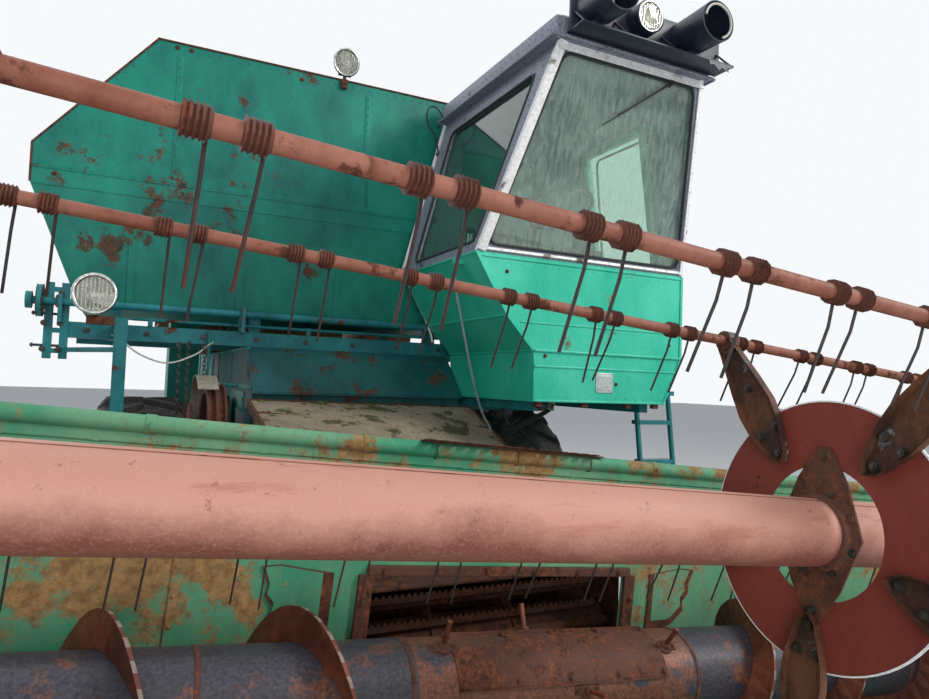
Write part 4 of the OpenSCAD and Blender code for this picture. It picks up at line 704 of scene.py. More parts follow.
class HARVESTER_PG_colours(PropertyGroup):
    """Colours that the panel offers"""
    paint: FloatVectorProperty(name="Enamel", description="Colour of the sheet metal's enamel",
        subtype="COLOR", size=3, min=0, max=1, default=linear("#075E5A")[:3])
    rust: FloatVectorProperty(name="Rust", description="Colour of the rust where it is dry", subtype="COLOR",
        size=3, min=0, max=1, default=linear("#74442C")[:3])
    floor: FloatVectorProperty(name="Floor", description="Colour of the studio floor", subtype="COLOR",
        size=3, min=0, max=1, default=linear("#DDDEDE")[:3])


class HARVESTER_PG_sizes(PropertyGroup):
    """Sizes that the panel offers"""
    rivet: FloatProperty(name="Rivet", description="Radius of a rivet head on the sheets", default=0.007,
        min=0.003, max=0.02, unit="LENGTH")
    gasket: FloatProperty(name="Window seal", description="Thickness of the rubber round the cab's panes",
        default=0.016, min=0.008, max=0.04, unit="LENGTH")
    coil_turns: IntProperty(name="Coil turns", description="Turns in each spring that holds a tine",
        default=5, min=2, max=8)


class HARVESTER_OT_stage(Operator):
    """Floor, soft lights and the camera at the photograph's place"""
    bl_idname = "harvester.stage"
    bl_label = "Stage"

    def execute(self, context):
        scene = context.scene
        view = bpy.data.cameras.new("photo_view")
        view.sensor_width, view.lens = 36.0, 27.13
        view.clip_start, view.clip_end = 0.05, 200
        holder = bpy.data.objects.new("photo_view", view)
        holder.matrix_world = Matrix(((0.8977, -0.0525, -0.4376, -1.359), (-0.4393, -0.0268, -0.8980, -4.490),
            (0.0354, 0.9982, -0.0471, 1.540), (0, 0, 0, 1)))
        scene.collection.objects.link(holder)
        scene.camera = holder
        scene.view_settings.view_transform = "Standard"
        bm = bmesh.new()
        bmesh.ops.create_grid(bm, x_segments=2, y_segments=2, size=60)
        mesh = bpy.data.meshes.new("studio_floor")
        bm.to_mesh(mesh)
        bm.free()
        floor = bpy.data.objects.new("studio_floor", mesh)
        floor.location.z = -0.002
        scene.collection.objects.link(floor)
        # Painted concrete, one even tone so that the shadow reads
        material, tree = start_finish("pale studio floor")[:2]
        end_finish(tree, {"Base Color": (*scene.harvester_colours.floor, 1), "Roughness": 0.9}, {})
        mesh.materials.append(material)
        world = bpy.data.worlds.new("studio")
        scene.world = world
        world.use_nodes = True
        tree = world.node_tree
        tree.nodes.clear()
        path = tree.nodes.new("ShaderNodeLightPath")
        seen = maths(tree, "MAXIMUM", path.outputs["Is Camera Ray"],
            maths(tree, "MAXIMUM", path.outputs["Is Glossy Ray"], path.outputs["Is Transmission Ray"]))
        soft = add(tree, "ShaderNodeBackground", {"Color": (0.86, 0.92, 1.0, 1), "Strength": 0.42})
        white = add(tree, "ShaderNodeBackground", {"Color": (0.93, 0.95, 0.97, 1), "Strength": 1.0})
        mixed = add(tree, "ShaderNodeMixShader", links={0: seen, 1: soft, 2: white})
        out = tree.nodes.new("ShaderNodeOutputWorld")
        tree.links.new(mixed, out.inputs["Surface"])
        for name, place, target, size, power, colour in (
                ("key_light", (7.5, -8.5, 8.0), (0, -1.5, 1.5), 3.0, 900, (1.0, 0.97, 0.92)),
                ("top_light", (-3.0, 0.0, 10.0), (0, 0, 1.0), 8.0, 240, (1.0, 1.0, 1.0)),
                ("low_light", (-2.5, -9.0, 1.2), (-0.5, -2.2, 0.3), 4.0, 205, (1.0, 0.98, 0.94)),
                ("back_light", (-5.0, 9.0, 6.0), (0, 1, 1.5), 6.0, 300, (0.95, 0.98, 1.0))):
            lamp = bpy.data.lights.new(name, "AREA")
            lamp.size, lamp.energy, lamp.color = size, power, colour
            holder = bpy.data.objects.new(name, lamp)
            holder.matrix_world = Matrix.Translation(place) @ (
                Vector(target) - Vector(place)).to_track_quat("-Z", "Y").to_matrix().to_4x4()
            scene.collection.objects.link(holder)
        return {"FINISHED"}


# Routes of the free lines: the cable and the hoses as in the CAD, and the lamp's wire
CABLE = [(275, -1130, 2180), (277, -1125, 2100), (300, -1105, 2010), (345, -1080, 1880), (405, -1055, 1690),
    (475, -1020, 1500), (550, -980, 1360), (615, -940, 1290), (630, -930, 1262)]
HOSES = ([(800, -750, 1449.7), (802, -752, 1400), (834, -800, 1290), (865, -1000, 1215), (885, -1170, 1100),
          (875, -1200, 960), (820, -1020, 780), (720, -600, 690), (640, -280, 690), (600, -150, 700),
          (600, -90.3, 700)],
         [(900, -1150, 1449.7), (888, -1142, 1400), (805, -950, 1290), (768, -800, 1200), (755, -640, 1060),
          (740, -470, 880), (690, -330, 780), (668, -180, 742), (668, -90.3, 740)])
LAMP_WIRE = [(-1372, -746, 1712), (-1330, -738, 1690), (-1240, -700, 1622), (-1105, -600, 1587),
    (-960, -400, 1640), (-880, -262, 1700), (-847, -212, 1722)]


class HARVESTER_OT_cords(Operator):
    """Control cable, two hydraulic hoses and a slack lamp wire"""
    bl_idname = "harvester.cords"
    bl_label = "Hoses and cables"

    def execute(self, context):
        def hung(name, body, route, radius, finish, sides=12):
            """A cord along a route."""
            line = through(route, 30)
            bm = bmesh.new()
            swept(bm, line, radius, sides)
            cord = new_piece(name, bm, body, finish, True)
            line = [TO_ROW @ p for p in line]
            return cord

        cable = hung("grey_control_cable", None, CABLE, 7, "cable_sheath")
        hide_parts("control_cable")
        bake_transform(cable)
        # Cable's sleeve at the top and its nut at the foot
        bm = bmesh.new()
        bar(bm, (275, -1130, 2181), (276.5, -1126, 2130), 10, 12, radius_end=8)
        new_piece("cable_sleeve", bm, "machine", "gasket", True)
        bm = bmesh.new()
        turned(bm, [(14, 1219), (20, 1219), (20, 1232), (14, 1234), (14, 1219)], at(630, -930, 0), 24)
        new_piece("cable_nut", bm, "feeder", "dark_steel")
        for k, route in enumerate(HOSES):
            hose = hung(f"black_hose_{k + 1}", "machine", route, 14, "hose_rubber")
            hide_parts(f"hydraulic_hose_{k + 1}")
            # Swaged ferrules at both ends, with a hexagon
            bm = bmesh.new()
            line = [Vector(p) for p in route]
            for a, b in ((line[0], line[1]), (line[-1], line[-2])):
                way = (b - a).normalized()
                bar(bm, a, a + way * 14, 24, 6)
                bar(bm, a + way * 14, a + way * 48, 18, 20, radius_end=16.5)
                bar(bm, a + way * 20, a + way * 24, 20, 20)
            new_piece(f"hose_ferrules_{k + 1}", bm, "machine", "galvanised")
        hung("slack_lamp_wire", "machine", LAMP_WIRE, 4.5, "white_wire", 8)
        return {"FINISHED"}


class HARVESTER_OT_finish_frame(Operator):
    """Makes the finishes and gives every solid of the frame its own"""
    bl_idname = "harvester.finish_frame"
    bl_label = "Finish the frame"

    def execute(self, context):
        make_finishes(context.scene.harvester_colours)
        for entry in frame["record"]["subparts"]:
            solid = frame["nodes"][entry["node"]]
            solid.data.materials.clear()
            # The thresher body and chassis take the darkest, bluer enamel
            darkest = entry["node"] in ("thresher_body", "chassis")
            solid.data.materials.append(FINISH["body_paint" if darkest else entry["material_slot"]])
        return {"FINISHED"}


def lamp_at(bm, place, wide):
    """A round headlamp that looks along Z: bowl, chrome bezel, reflector and a ribbed lens."""
    r = wide / 2
    turned(bm, [(0.0, -0.34 * wide), (r * 0.35, -0.33 * wide), (r * 0.8, -0.2 * wide),
        (r * 0.98, -0.02 * wide), (r * 0.98, 0.03 * wide), (r * 0.86, 0.03 * wide)], place, 40, 0)
    ring(bm, place @ Matrix.Translation((0, 0, 0.035 * wide * MM)), r * 0.93, r * 0.1, 40, 10, 0)
    turned(bm, [(r * 0.86, 0.03 * wide), (r * 0.7, -0.05 * wide), (r * 0.4, -0.15 * wide),
        (0.0, -0.2 * wide)], place, 32, 1)
    turned(bm, [(r * 0.88 * (1 - i / 8), 0.035 * wide + 0.05 * wide * math.sin(i / 8 * math.pi / 2))
        for i in range(9)], place, 32, 2)
    for i in range(-4, 5):
        x = i * r * 0.18
        half = math.sqrt(max(0.0, (r * 0.8) ** 2 - x * x))
        block(bm, (x - 3, -half, 0.04 * wide), (x + 3, half, 0.066 * wide), 0, 2, place)
    turned(bm, [(0, -0.12 * wide), (r * 0.1, -0.1 * wide), (r * 0.12, -0.05 * wide), (0, -0.02 * wide)],
        place, 12, 2)


class HARVESTER_OT_lamps(Operator):
    """Chrome headlamps on the tank, on the post and over the cab"""
    bl_idname = "harvester.lamps"
    bl_label = "Lamps"

    def execute(self, context):
        metals = "lamp_metal reflector lens"
        bm = bmesh.new()
        lamp_at(bm, facing((-132, -236, 3556), (0.05, -1, -0.22)), 172)
        lamp_at(bm, facing((-1450, -822, 1895), (-0.12, -1, 0.02)), 195)
        piece = new_piece("work_lamp_glasses", bm, "machine", metals, True)
        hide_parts("work_lamps")
        bm = bmesh.new()
        bar(bm, (-132, -212, 3400), (-132, -212, 3482), 11, 14)
        bar(bm, (-1450, -790, 1755), (-1450, -790, 1812), 12, 14)
        block(bm, (-152, -224, 3395), (-112, -200.3, 3455), 3)
        block(bm, (-1482, -805, 1755), (-1362.3, -735, 1795), 3)
        # Forked brackets that hold each bowl, with their bolts
        for x, y, z, wide in ((-132, -212, 3482, 40), (-1450, -790, 1812, 44)):
            block(bm, (x - wide, y - 12, z - 4), (x + wide, y + 12, z + 2), 1)
            for s in (-1, 1):
                strip(bm, (x + s * wide, y, z), (x + s * wide * 0.9, y - 8, z + 44), (0, 1, 0), 22, 4)
        bolts(bm, [facing((-1462, -806, 1775), (0, -1, 0)), facing((-132, -224.5, 3425), (0, -1, 0)),
            facing((-1450, -770, 1795.5), (0, 0, 1))], 9)
        new_piece("work_lamp_stems", bm, "machine", "rusty_steel")
        bm = bmesh.new()
        lamp_at(bm, facing((1010, -1787, 3440), (0, -1, -0.1)), 158)
        for x in (700, 1310):
            lamp_at(bm, facing((x, -1800, 3420), (0, -1, -0.06)), 150)
        new_piece("visor_lamp_glasses", bm, "machine", metals, True)
        return {"FINISHED"}


class HARVESTER_OT_roof(Operator):
    """Cab roof with folded ribs, and the navy lamp visor over the windscreen"""
    bl_idname = "harvester.roof"
    bl_label = "Roof and visor"

    def execute(self, context):
        bm = bmesh.new()
        tapered(bm, (515, -1670, 1555, -278, 3270), (535, -1655, 1535, -295, 3398), 16)
        tapered(bm, (545, -1640, 1525, -305, 3398), (622, -1560, 1450, -372, 3459), 18)
        for x in range(660, 1440, 130):
            block(bm, (x - 12, -1540, 3456), (x + 12, -392, 3462), 2)
        # Drip rail round the eave, open at its joints
        for a, b in (((505, -1685, 3276), (505, -270, 3276)), ((1565, -1685, 3276), (1565, -270, 3276)),
                ((505, -270, 3276), (1565, -270, 3276)), ((505, -1685, 3276), (1565, -1685, 3276))):
            bar(bm, a, b, 9, 10)
        rivet_rows(bm, 6, (-1, 0, 0), ((517, -1600, 3330), (517, -330, 3330), 22))
        rivet_rows(bm, 6, (1, 0, 0), ((1552, -1600, 3330), (1552, -330, 3330), 22))
        rivet_rows(bm, 6, (0, 1, 0), ((560, -281, 3330), (1510, -281, 3330), 16))
        piece = new_piece("cab_roof_shell", bm, "machine", "cab_shell", True)
        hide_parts("cab_roof")
        bm = bmesh.new()
        block(bm, (580, -1820, 3292), (1570, -1680, 3304), 4)
        block(bm, (580, -1712, 3300), (1570, -1692, 3512), 6)
        # Two long lamp tubes, wider at the mouth, and a short one between them
        for x in (700, 1310):
            turned(bm, [(88, 0), (98, 2), (100, 130), (104, 250), (105, 268), (99, 270), (95, 245), (92, 130),
                (84, 6)], facing((x, -1690, 3420), (0, -1, 0)), 44)
            block(bm, (x - 40, -1800, 3304), (x + 40, -1720, 3330), 6)
        turned(bm, [(60, 0), (84, 4), (85, 84), (80, 88), (77, 40), (50, 8)],
            facing((1010, -1712, 3440), (0, -1, 0)), 40)
        for x in (600, 850, 1160, 1550):
            strip(bm, (x, -1810, 3303), (x, -1712, 3400), (1, 0, 0), 14, 8)
        # Torn lower skirt of the visor at its outer end
        plate(bm, [(0, 0), (150, 6), (168, -12), (120, -22), (134, -44), (84, -30), (60, -52), (30, -22),
            (0, -30)], at(1392, -1815, 3296) @ Matrix.Rotation(math.radians(78), 4, "X"), 4)
        bolts(bm, [facing((x, -1760, 3304), (0, 0, 1)) for x in (640, 860, 1150, 1480)], 8)
        new_piece("lamp_visor", bm, "machine", "visor_plastic", True)
        # White foam ring left in the outer tube, open to one side
        bm = bmesh.new()
        place = facing((1310, -1955, 3420), (0, -1, 0))
        swept(bm, [place @ mm(86 * math.cos(t), 86 * math.sin(t), 4)
            for t in (math.radians(a) for a in range(-70, 175, 12))], 6.5, 8)
        new_piece("visor_ring", bm, "machine", "white_wire", True)
        # Wire loop at the roof's rear corner
        bm = bmesh.new()
        swept(bm, through([(520, -330, 3290), (470, -330, 3350), (420, -325, 3352), (400, -322, 3290),
            (420, -318, 3225), (462, -312, 3180), (500, -300, 3080), (500, -296, 2950)], 25), 5, 8)
        for z in (3230, 3050):
            block(bm, (488, -306, z), (506, -288, z + 12), 2)
        new_piece("roof_wire_loop", bm, "machine", "gasket", True)
        return {"FINISHED"}


def leaning(x, z):
    """A point on the windscreen's outside, which leans forward towards the top."""
    share = (z - SILL) / (EAVE - SILL)
    return (x, CAB_FRONT - LEAN * share, z)


def side_x(z):
    """The cab's right-hand wall leans in towards the roof."""
    return 290 + 270 * (z - SILL) / (EAVE - SILL)


class HARVESTER_OT_cab_trim(Operator):
    """White strips, rubber seals and the wiper of the cab"""
    bl_idname = "harvester.cab_trim"
    bl_label = "Cab trim"

    def execute(self, context):
        thick = context.scene.harvester_sizes.gasket / MM / 2
        screen = [leaning(345, 2262), leaning(603, 3222), leaning(1467, 3222), leaning(1620, 2262)]
        side = [(side_x(z), y, z) for y, z in ((-1285, 2282), (-1482, 3158), (-452, 3158), (-452, 2282))]
        rear = [(672, -290, 2522), (672, -290, 3108), (1248, -290, 3108), (1248, -290, 2522)]
        bm = bmesh.new()
        for pane in (screen, side, rear):
            swept(bm, rounded(pane, 55), thick, 8, closed=True)
        new_piece("window_seals", bm, "machine", "gasket", True)
        # Bright strips: both pillars, the lip over the screen and the sill under it
        bm = bmesh.new()
        out = Vector((0, -1, 0.286)).normalized() * 6
        for a, b, wide in ((leaning(312, 2225), leaning(582, 3268), 44),
                (leaning(1656, 2225), leaning(1500, 3268), 24), (leaning(556, 3250), leaning(1514, 3250), 62),
                (leaning(318, 2236), leaning(1650, 2236), 14)):
            a, b = Vector(a) + out, Vector(b) + out
            strip(bm, a, b, Vector((0, -1, 0.286)).cross(b - a), wide, 7)
        strip(bm, (286, -1342, 2225), (556, -1642, 3266), (0, 1, 0), 16, 6)
        seams = ((leaning(585, 3254), leaning(1495, 3254), 14), (leaning(318, 2270), leaning(566, 3215), 10),
            (leaning(1655, 2270), leaning(1514, 3215), 10), (leaning(345, 2238), leaning(1630, 2238), 16))
        rivets(bm, [facing(Vector(p) + out * 1.5, (0, -1, 0.286)) for ends in seams for p in row(*ends)], 6)
        new_piece("windscreen_strips", bm, "machine", "trim")
        # Rivets in the alloy frame
        bm = bmesh.new()
        spots = []
        for y in (-1330, -400, -330):
            a, b = (side_x(2240) - 1, y, 2240), (side_x(3240) - 1, y - (220 if y < -1000 else 0), 3240)
            spots += [facing(p, (-1, 0, 0.257)) for p in row(a, b, 16)]
        spots += [facing((side_x(3215) - 1, y, 3215), (-1, 0, 0.257)) for y in range(-1500, -320, 90)]
        spots += [facing((side_x(2250) - 1, y, 2250), (-1, 0, 0.257)) for y in range(-1300, -320, 90)]
        spots += [facing((x, -288, z), (0, 1, 0)) for x, z in [(x, 2260) for x in range(420, 1600, 110)] +
            [(x, 3235) for x in range(620, 1480, 110)]]
        rivets(bm, spots, 5.5)
        new_piece("cab_frame_rivets", bm, "machine", "cab_shell", True)
        # Pale strip down the rear corner, and the bead beside it
        bm = bmesh.new()
        swept(bm, through([(560, -282, 3262), (430, -281, 2780), (300, -281, 2240), (299, -281, 2225),
            (482, -280.5, 1910), (520, -280, 1800)], 60), 6, 6)
        strip(bm, (552, -287, 3262), (287, -287, 2226), (1, 0, 0), 26, 4)
        new_piece("rear_corner_strip", bm, "machine", "trim", True)
        # Wiper: arm, blade and pivot
        bm = bmesh.new()
        pivot, tip = Vector(leaning(1290, 3205)), Vector(leaning(985, 2985))
        strip(bm, pivot + out * 3, tip + out * 3, Vector((0, -1, 0.286)).cross(tip - pivot), 13, 6)
        strip(bm, Vector(leaning(1100, 3068)) + out * 2, Vector(leaning(900, 2924)) + out * 2, (0, -1, 0.286),
            10, 5)
        bar(bm, pivot - out, pivot + out * 5, 13, 14)
        new_piece("wiper", bm, "machine", "gasket")
        # Door: seal and rivets
        bm = bmesh.new()

        def door_x(z):
            return 1670 - (110 * (z - SILL) / (EAVE - SILL) if z > SILL else 0)
        pane = [(door_x(z) + 1, y, z) for y, z in ((-1122, 2288), (-1122, 3112), (-598, 3112), (-598, 2288))]
        swept(bm, rounded(pane, 50), thick, 8, closed=True)
        rivets(bm, [facing((door_x(z) + 1, y, z), (1, 0, 0.1)) for y in (-1165, -555)
            for z in range(1840, 3160, 120)], 6)
        new_piece("door_seal", bm, "door", "gasket", True)
        return {"FINISHED"}


class HARVESTER_OT_cab_box(Operator):
    """Folded mouldings, corner strips and the bare plate of the box under the cab"""
    bl_idname = "harvester.cab_box"
    bl_label = "Cab box"

    def execute(self, context):
        bm = bmesh.new()
        # Shadow lip at the waist, the lower seam, and the turned edges
        block(bm, (648, -1362, 1719), (1668, -1349.5, 1731), 3)
        block(bm, (656, -1356, 1636), (1632, -1349.5, 1646), 2)
        block(bm, (664, -1358, 1452), (1538, -1349.5, 1462), 2)
        for a, b in (((286, -1354, 2216), (476, -1354, 1905)), ((476, -1354, 1905), (641, -1354, 1727)),
                ((652, -1354, 1619), (657, -1354, 1455))):
            strip(bm, a, b, (0, 1, 0), 14, 16)
        for a, b in (((288, -1345, 2219), (288, -292, 2219)), ((476, -1345, 1903), (476, -292, 1903)),
                ((641, -1345, 1724), (641, -292, 1724))):
            bar(bm, a, b, 6, 8)
        strip(bm, (1668, -1352, 2216), (1668, -1352, 1728), (1, 0, 0), 16, 8)
        strip(bm, (1667, -1352, 1722), (1630, -1352, 1622), (1, 0, 0), 14, 8)
        strip(bm, (1630, -1352, 1620), (1541, -1352, 1453), (1, 0, 0), 14, 8)
        block(bm, (300, -1357, 2196), (1668, -1349.5, 2206), 2)
        # Long swage across the upper panel
        block(bm, (560, -1355, 1868), (1660, -1349.5, 1876), 2)
        rivet_rows(bm, 5, (0, -1, 0), ((680, -1350, 1702), (1640, -1350, 1702), 16),
            ((680, -1350, 1480), (1530, -1350, 1480), 14), ((330, -1350, 2176), (1650, -1350, 2176), 18))
        new_piece("cab_box_mouldings", bm, "machine", "cab_paint")
        bm = bmesh.new()
        block(bm, (1058, -1354, 1509), (1174, -1350, 1620), 2)
        block(bm, (1072, -1356, 1523), (1160, -1353.5, 1606), 2)
        bolts(bm, [facing((x, -1354, z), (0, -1, 0)) for x in (1064, 1168) for z in (1516, 1613)], 3)
        new_piece("blank_rating_plate", bm, "machine", "blank_plate")
        bm = bmesh.new()
        bolts(bm, [facing((720, -1350, 1698), (0, -1, 0)), facing((470, -1350, 2130), (0, -1, 0)),
            facing((1580, -1350, 1800), (0, -1, 0)), facing((1200, -1350, 1560), (0, -1, 0))], 9)
        # Lugs that hang under the box
        for x in (700, 1000, 1300, 1500):
            block(bm, (x - 20, -1340, 1425), (x + 20, -1310, 1450), 3)
        new_piece("cab_box_bolts", bm, "machine", "rusty_steel")
        return {"FINISHED"}


def pillow(name, low, high):
    """A padded cushion: crowned on top, drawn in between its corners, with a piped edge and sewn channels."""
    low, high = mm(*low), mm(*high)
    size, centre = high - low, (low + high) / 2
    bm = bmesh.new()
    bmesh.ops.create_cube(bm, size=1)
    bmesh.ops.subdivide_edges(bm, edges=bm.edges, cuts=21, use_grid_fill=True)
    for v in bm.verts:
        u = [2 * c for c in v.co]
        flat = min(range(3), key=lambda k: size[k])
        a, b = [k for k in range(3) if k != flat]
        crown = (1 - u[a] ** 4) * (1 - u[b] ** 4)
        crown *= 1 - 0.16 * max(0.0, math.cos(u[a] * math.pi * 2.5)) ** 8 * crown
        v.co[flat] *= 0.62 + 0.38 * crown ** 0.5 if crown > 0 else 0.62
        for k, other in ((a, b), (b, a)):
            v.co[k] *= 1 - 0.05 * (1 - u[other] ** 2) * abs(u[k]) ** 3 - 0.03 * abs(u[flat]) ** 4
    bmesh.ops.smooth_vert(bm, verts=bm.verts, factor=0.5, use_axis_x=True, use_axis_y=True, use_axis_z=True)
    bmesh.ops.transform(bm, matrix=Matrix.Translation(centre) @ Matrix.Diagonal((*size, 1)), verts=bm.verts)
    piece = new_piece(name, bm, "machine", "cushion", True)
    return piece


class HARVESTER_OT_cab_interior(Operator):
    """Padded seat, steering wheel on its column, pedals and lever console"""
    bl_idname = "harvester.cab_interior"
    bl_label = "Cab interior"

    def execute(self, context):
        bm = bmesh.new()
        # Seat box, suspension, frame and back shell
        tapered(bm, (790, -840, 1170, -460, 1771), (830, -800, 1130, -500, 2010), 12)
        block(bm, (770, -880, 2006), (1190, -440, 2046), 10)
        block(bm, (760, -440, 2046), (1200, -424, 2610), 12)
        for x in (756, 1204):
            strip(bm, (x, -470, 2046), (x, -440, 2260), (0, 1, 0), 40, 8)
        block(bm, (440, -1020, 2200), (735, -490, 2290), 14)
        block(bm, (675, -900, 1771), (735, -590, 2200), 6)
        for i in range(4):
            block(bm, (452 + (i % 2) * 70, -990 + i * 100, 2286), (588 + (i % 2) * 70, -930 + i * 100, 2296),
                3)
        # Column with its boot, wheel hub and spokes
        bar(bm, (1000, -1170, 1774), (1000, -1022, 2600), 30, 20)
        turned(bm, [(86, 0), (80, 20), (60, 46), (46, 90), (36, 120)],
            aim(mm(1000, -1170, 1772), mm(1000, -1022, 2604)), 28)
        wheel = at(1000, -1020, 2610) @ Matrix.Rotation(math.radians(-25), 4, "X")
        ring(bm, wheel, 200, 13, 56, 12)
        turned(bm, [(0, 24), (26, 22), (44, 10), (46, -14), (30, -30), (0, -32)], wheel, 28)
        for a in (90, 210, 330):
            turn = wheel @ Matrix.Rotation(math.radians(a), 4, "Z")
            block(bm, (30, -11, -7), (192, 11, 3), 4, 0, turn)
        # Pedals and an instrument panel with dials
        for x in (900, 1090, 1170):
            strip(bm, (x, -1200, 1775), (x, -1255, 1890), (1, 0, 0), 16, 10)
            strip(bm, (x, -1230, 1880), (x, -1280, 1920), (1, 0, 0), 70, 8)
        block(bm, (860, -1268, 2226), (1150, -1160, 2330), 16)
        piece = new_piece("cab_fittings", bm, "machine", "interior_plastic", True)
        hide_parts("cab_interior")
        bm = bmesh.new()
        for k in range(3):
            place = facing((925 + 80 * k, -1159, 2282), (0, 1, 0.2))
            ring(bm, place, 28, 3, 24, 6)
            turned(bm, [(0, 0), (27, 0)], place, 24)
            block(bm, (-1.2, 0, 1), (1.2, 20, 2), 0, 0, place @ Matrix.Rotation(0.7 * k - 0.6, 4, "Z"))
        for i in range(4):
            x, y = 520 + (i % 2) * 70, -960 + i * 100
            bar(bm, (x, y, 2290), (x + 4, y - 10, 2392 + 25 * i), 7, 12)
        new_piece("dials_and_levers", bm, "machine", "lamp_metal", True)
        bm = bmesh.new()
        for i in range(4):
            x, y = 520 + (i % 2) * 70, -960 + i * 100
            turned(bm, [(0, 24), (13, 21), (19, 8), (18, -6), (8, -16), (0, -17)],
                at(x + 4, y - 10, 2404 + 25 * i), 20)
        new_piece("lever_knobs", bm, "machine", "gasket", True)
        pillow("seat_cushion", (744, -960, 2048), (1216, -446, 2152))
        pillow("seat_back", (748, -512, 2160), (1212, -424, 2620))
        return {"FINISHED"}


class HARVESTER_OT_tank(Operator):
    """Lapped seams, rim, rivets, bolts and hopper ribs of the grain tank"""
    bl_idname = "harvester.tank"
    bl_label = "Grain tank sheets"

    def execute(self, context):
        size = context.scene.harvester_sizes.rivet / MM
        bm = bmesh.new()
        # Lapped seam across the front and back, vertical laps, and the fold's crease
        for y, way in ((TANK_FRONT, -1), (TANK_BACK, 1)):
            near_y, far_y = sorted((y, y + way * 4))
            block(bm, (-1800, near_y, 2612), (1600, far_y, 2650), 1)
            block(bm, (-1805, near_y, 2522), (1605, far_y, 2532), 1)
            for x in (-1120, 20, 980):
                block(bm, (x, near_y, 2655), (x + 34, far_y, 3380), 1)
            spots = row((-1780, y + way * 4, 2631), (1580, y + way * 4, 2631), 66)
            spots += row((-1762, y, 2760), (-1235, y, 3405), 15) + row((1562, y, 2760), (1035, y, 3405), 15)
            spots += row((-1180, y, 3420), (980, y, 3420), 38)
            for x in (-1103, 37, 997):
                spots += row((x, y + way * 4, 2690), (x, y + way * 4, 3360), 14)
            rivets(bm, [facing(p, (0, way, 0)) for p in spots], size)
        for x, way in ((-1810, -1), (1610, 1)):
            for z in (2560, 2700):
                rivet_rows(bm, size, (way, 0, 0), ((x, -170, z), (x, 920, z), 18))
        new_piece("tank_seams", bm, "machine", "green_paint", True)
        # Rolled rim, worn to rust along the top
        bm = bmesh.new()
        for y in (-203, 953):
            for a, b in (((-1225, y, 3452), (-1812, y, 2743)), ((-1225, y, 3453), (1025, y, 3453)),
                    ((1025, y, 3452), (1612, y, 2743)), ((-1812, y, 2743), (-1812, y, 2530)),
                    ((1612, y, 2743), (1612, y, 2530))):
                bar(bm, a, b, 6, 8)
        for x in (-1225, 1025):
            bar(bm, (x, -203, 3453), (x, 953, 3453), 7, 8)
        new_piece("tank_rim", bm, "machine", "rusty_steel", True)
        # Bolts near the rim and the fold, hook plates on the hopper, and two grab rails behind
        bm = bmesh.new()
        bolts(bm, [facing(p, (0, -1, 0)) for p in ((-1124, -200, 3425), (-1048, -200, 3425),
            (-400, -200, 3400), (620, -200, 3400), (-1700, -200, 2590), (1480, -200, 2590))], 11)
        for z in (2150, 2330):
            block(bm, (-1556, 200, z), (-1553, 560, z + 120), 1)
        for x in (-900, 700):
            swept(bm, through([(x, 951, 3180), (x, 990, 3175), (x + 110, 990, 3175), (x + 110, 951, 3180)],
                20), 7, 8)
        new_piece("tank_bolts", bm, "machine", "rusty_steel", True)
        # Hopper ribs under the fold, in front
        bm = bmesh.new()
        for x in (-1300, -700, -100, 500, 1100):
            strip(bm, (x, -192, 2500), (x, -100, 1905), (1, 0, 0), 36, 5)
        new_piece("hopper_ribs", bm, "machine", "green_paint")
        return {"FINISHED"}


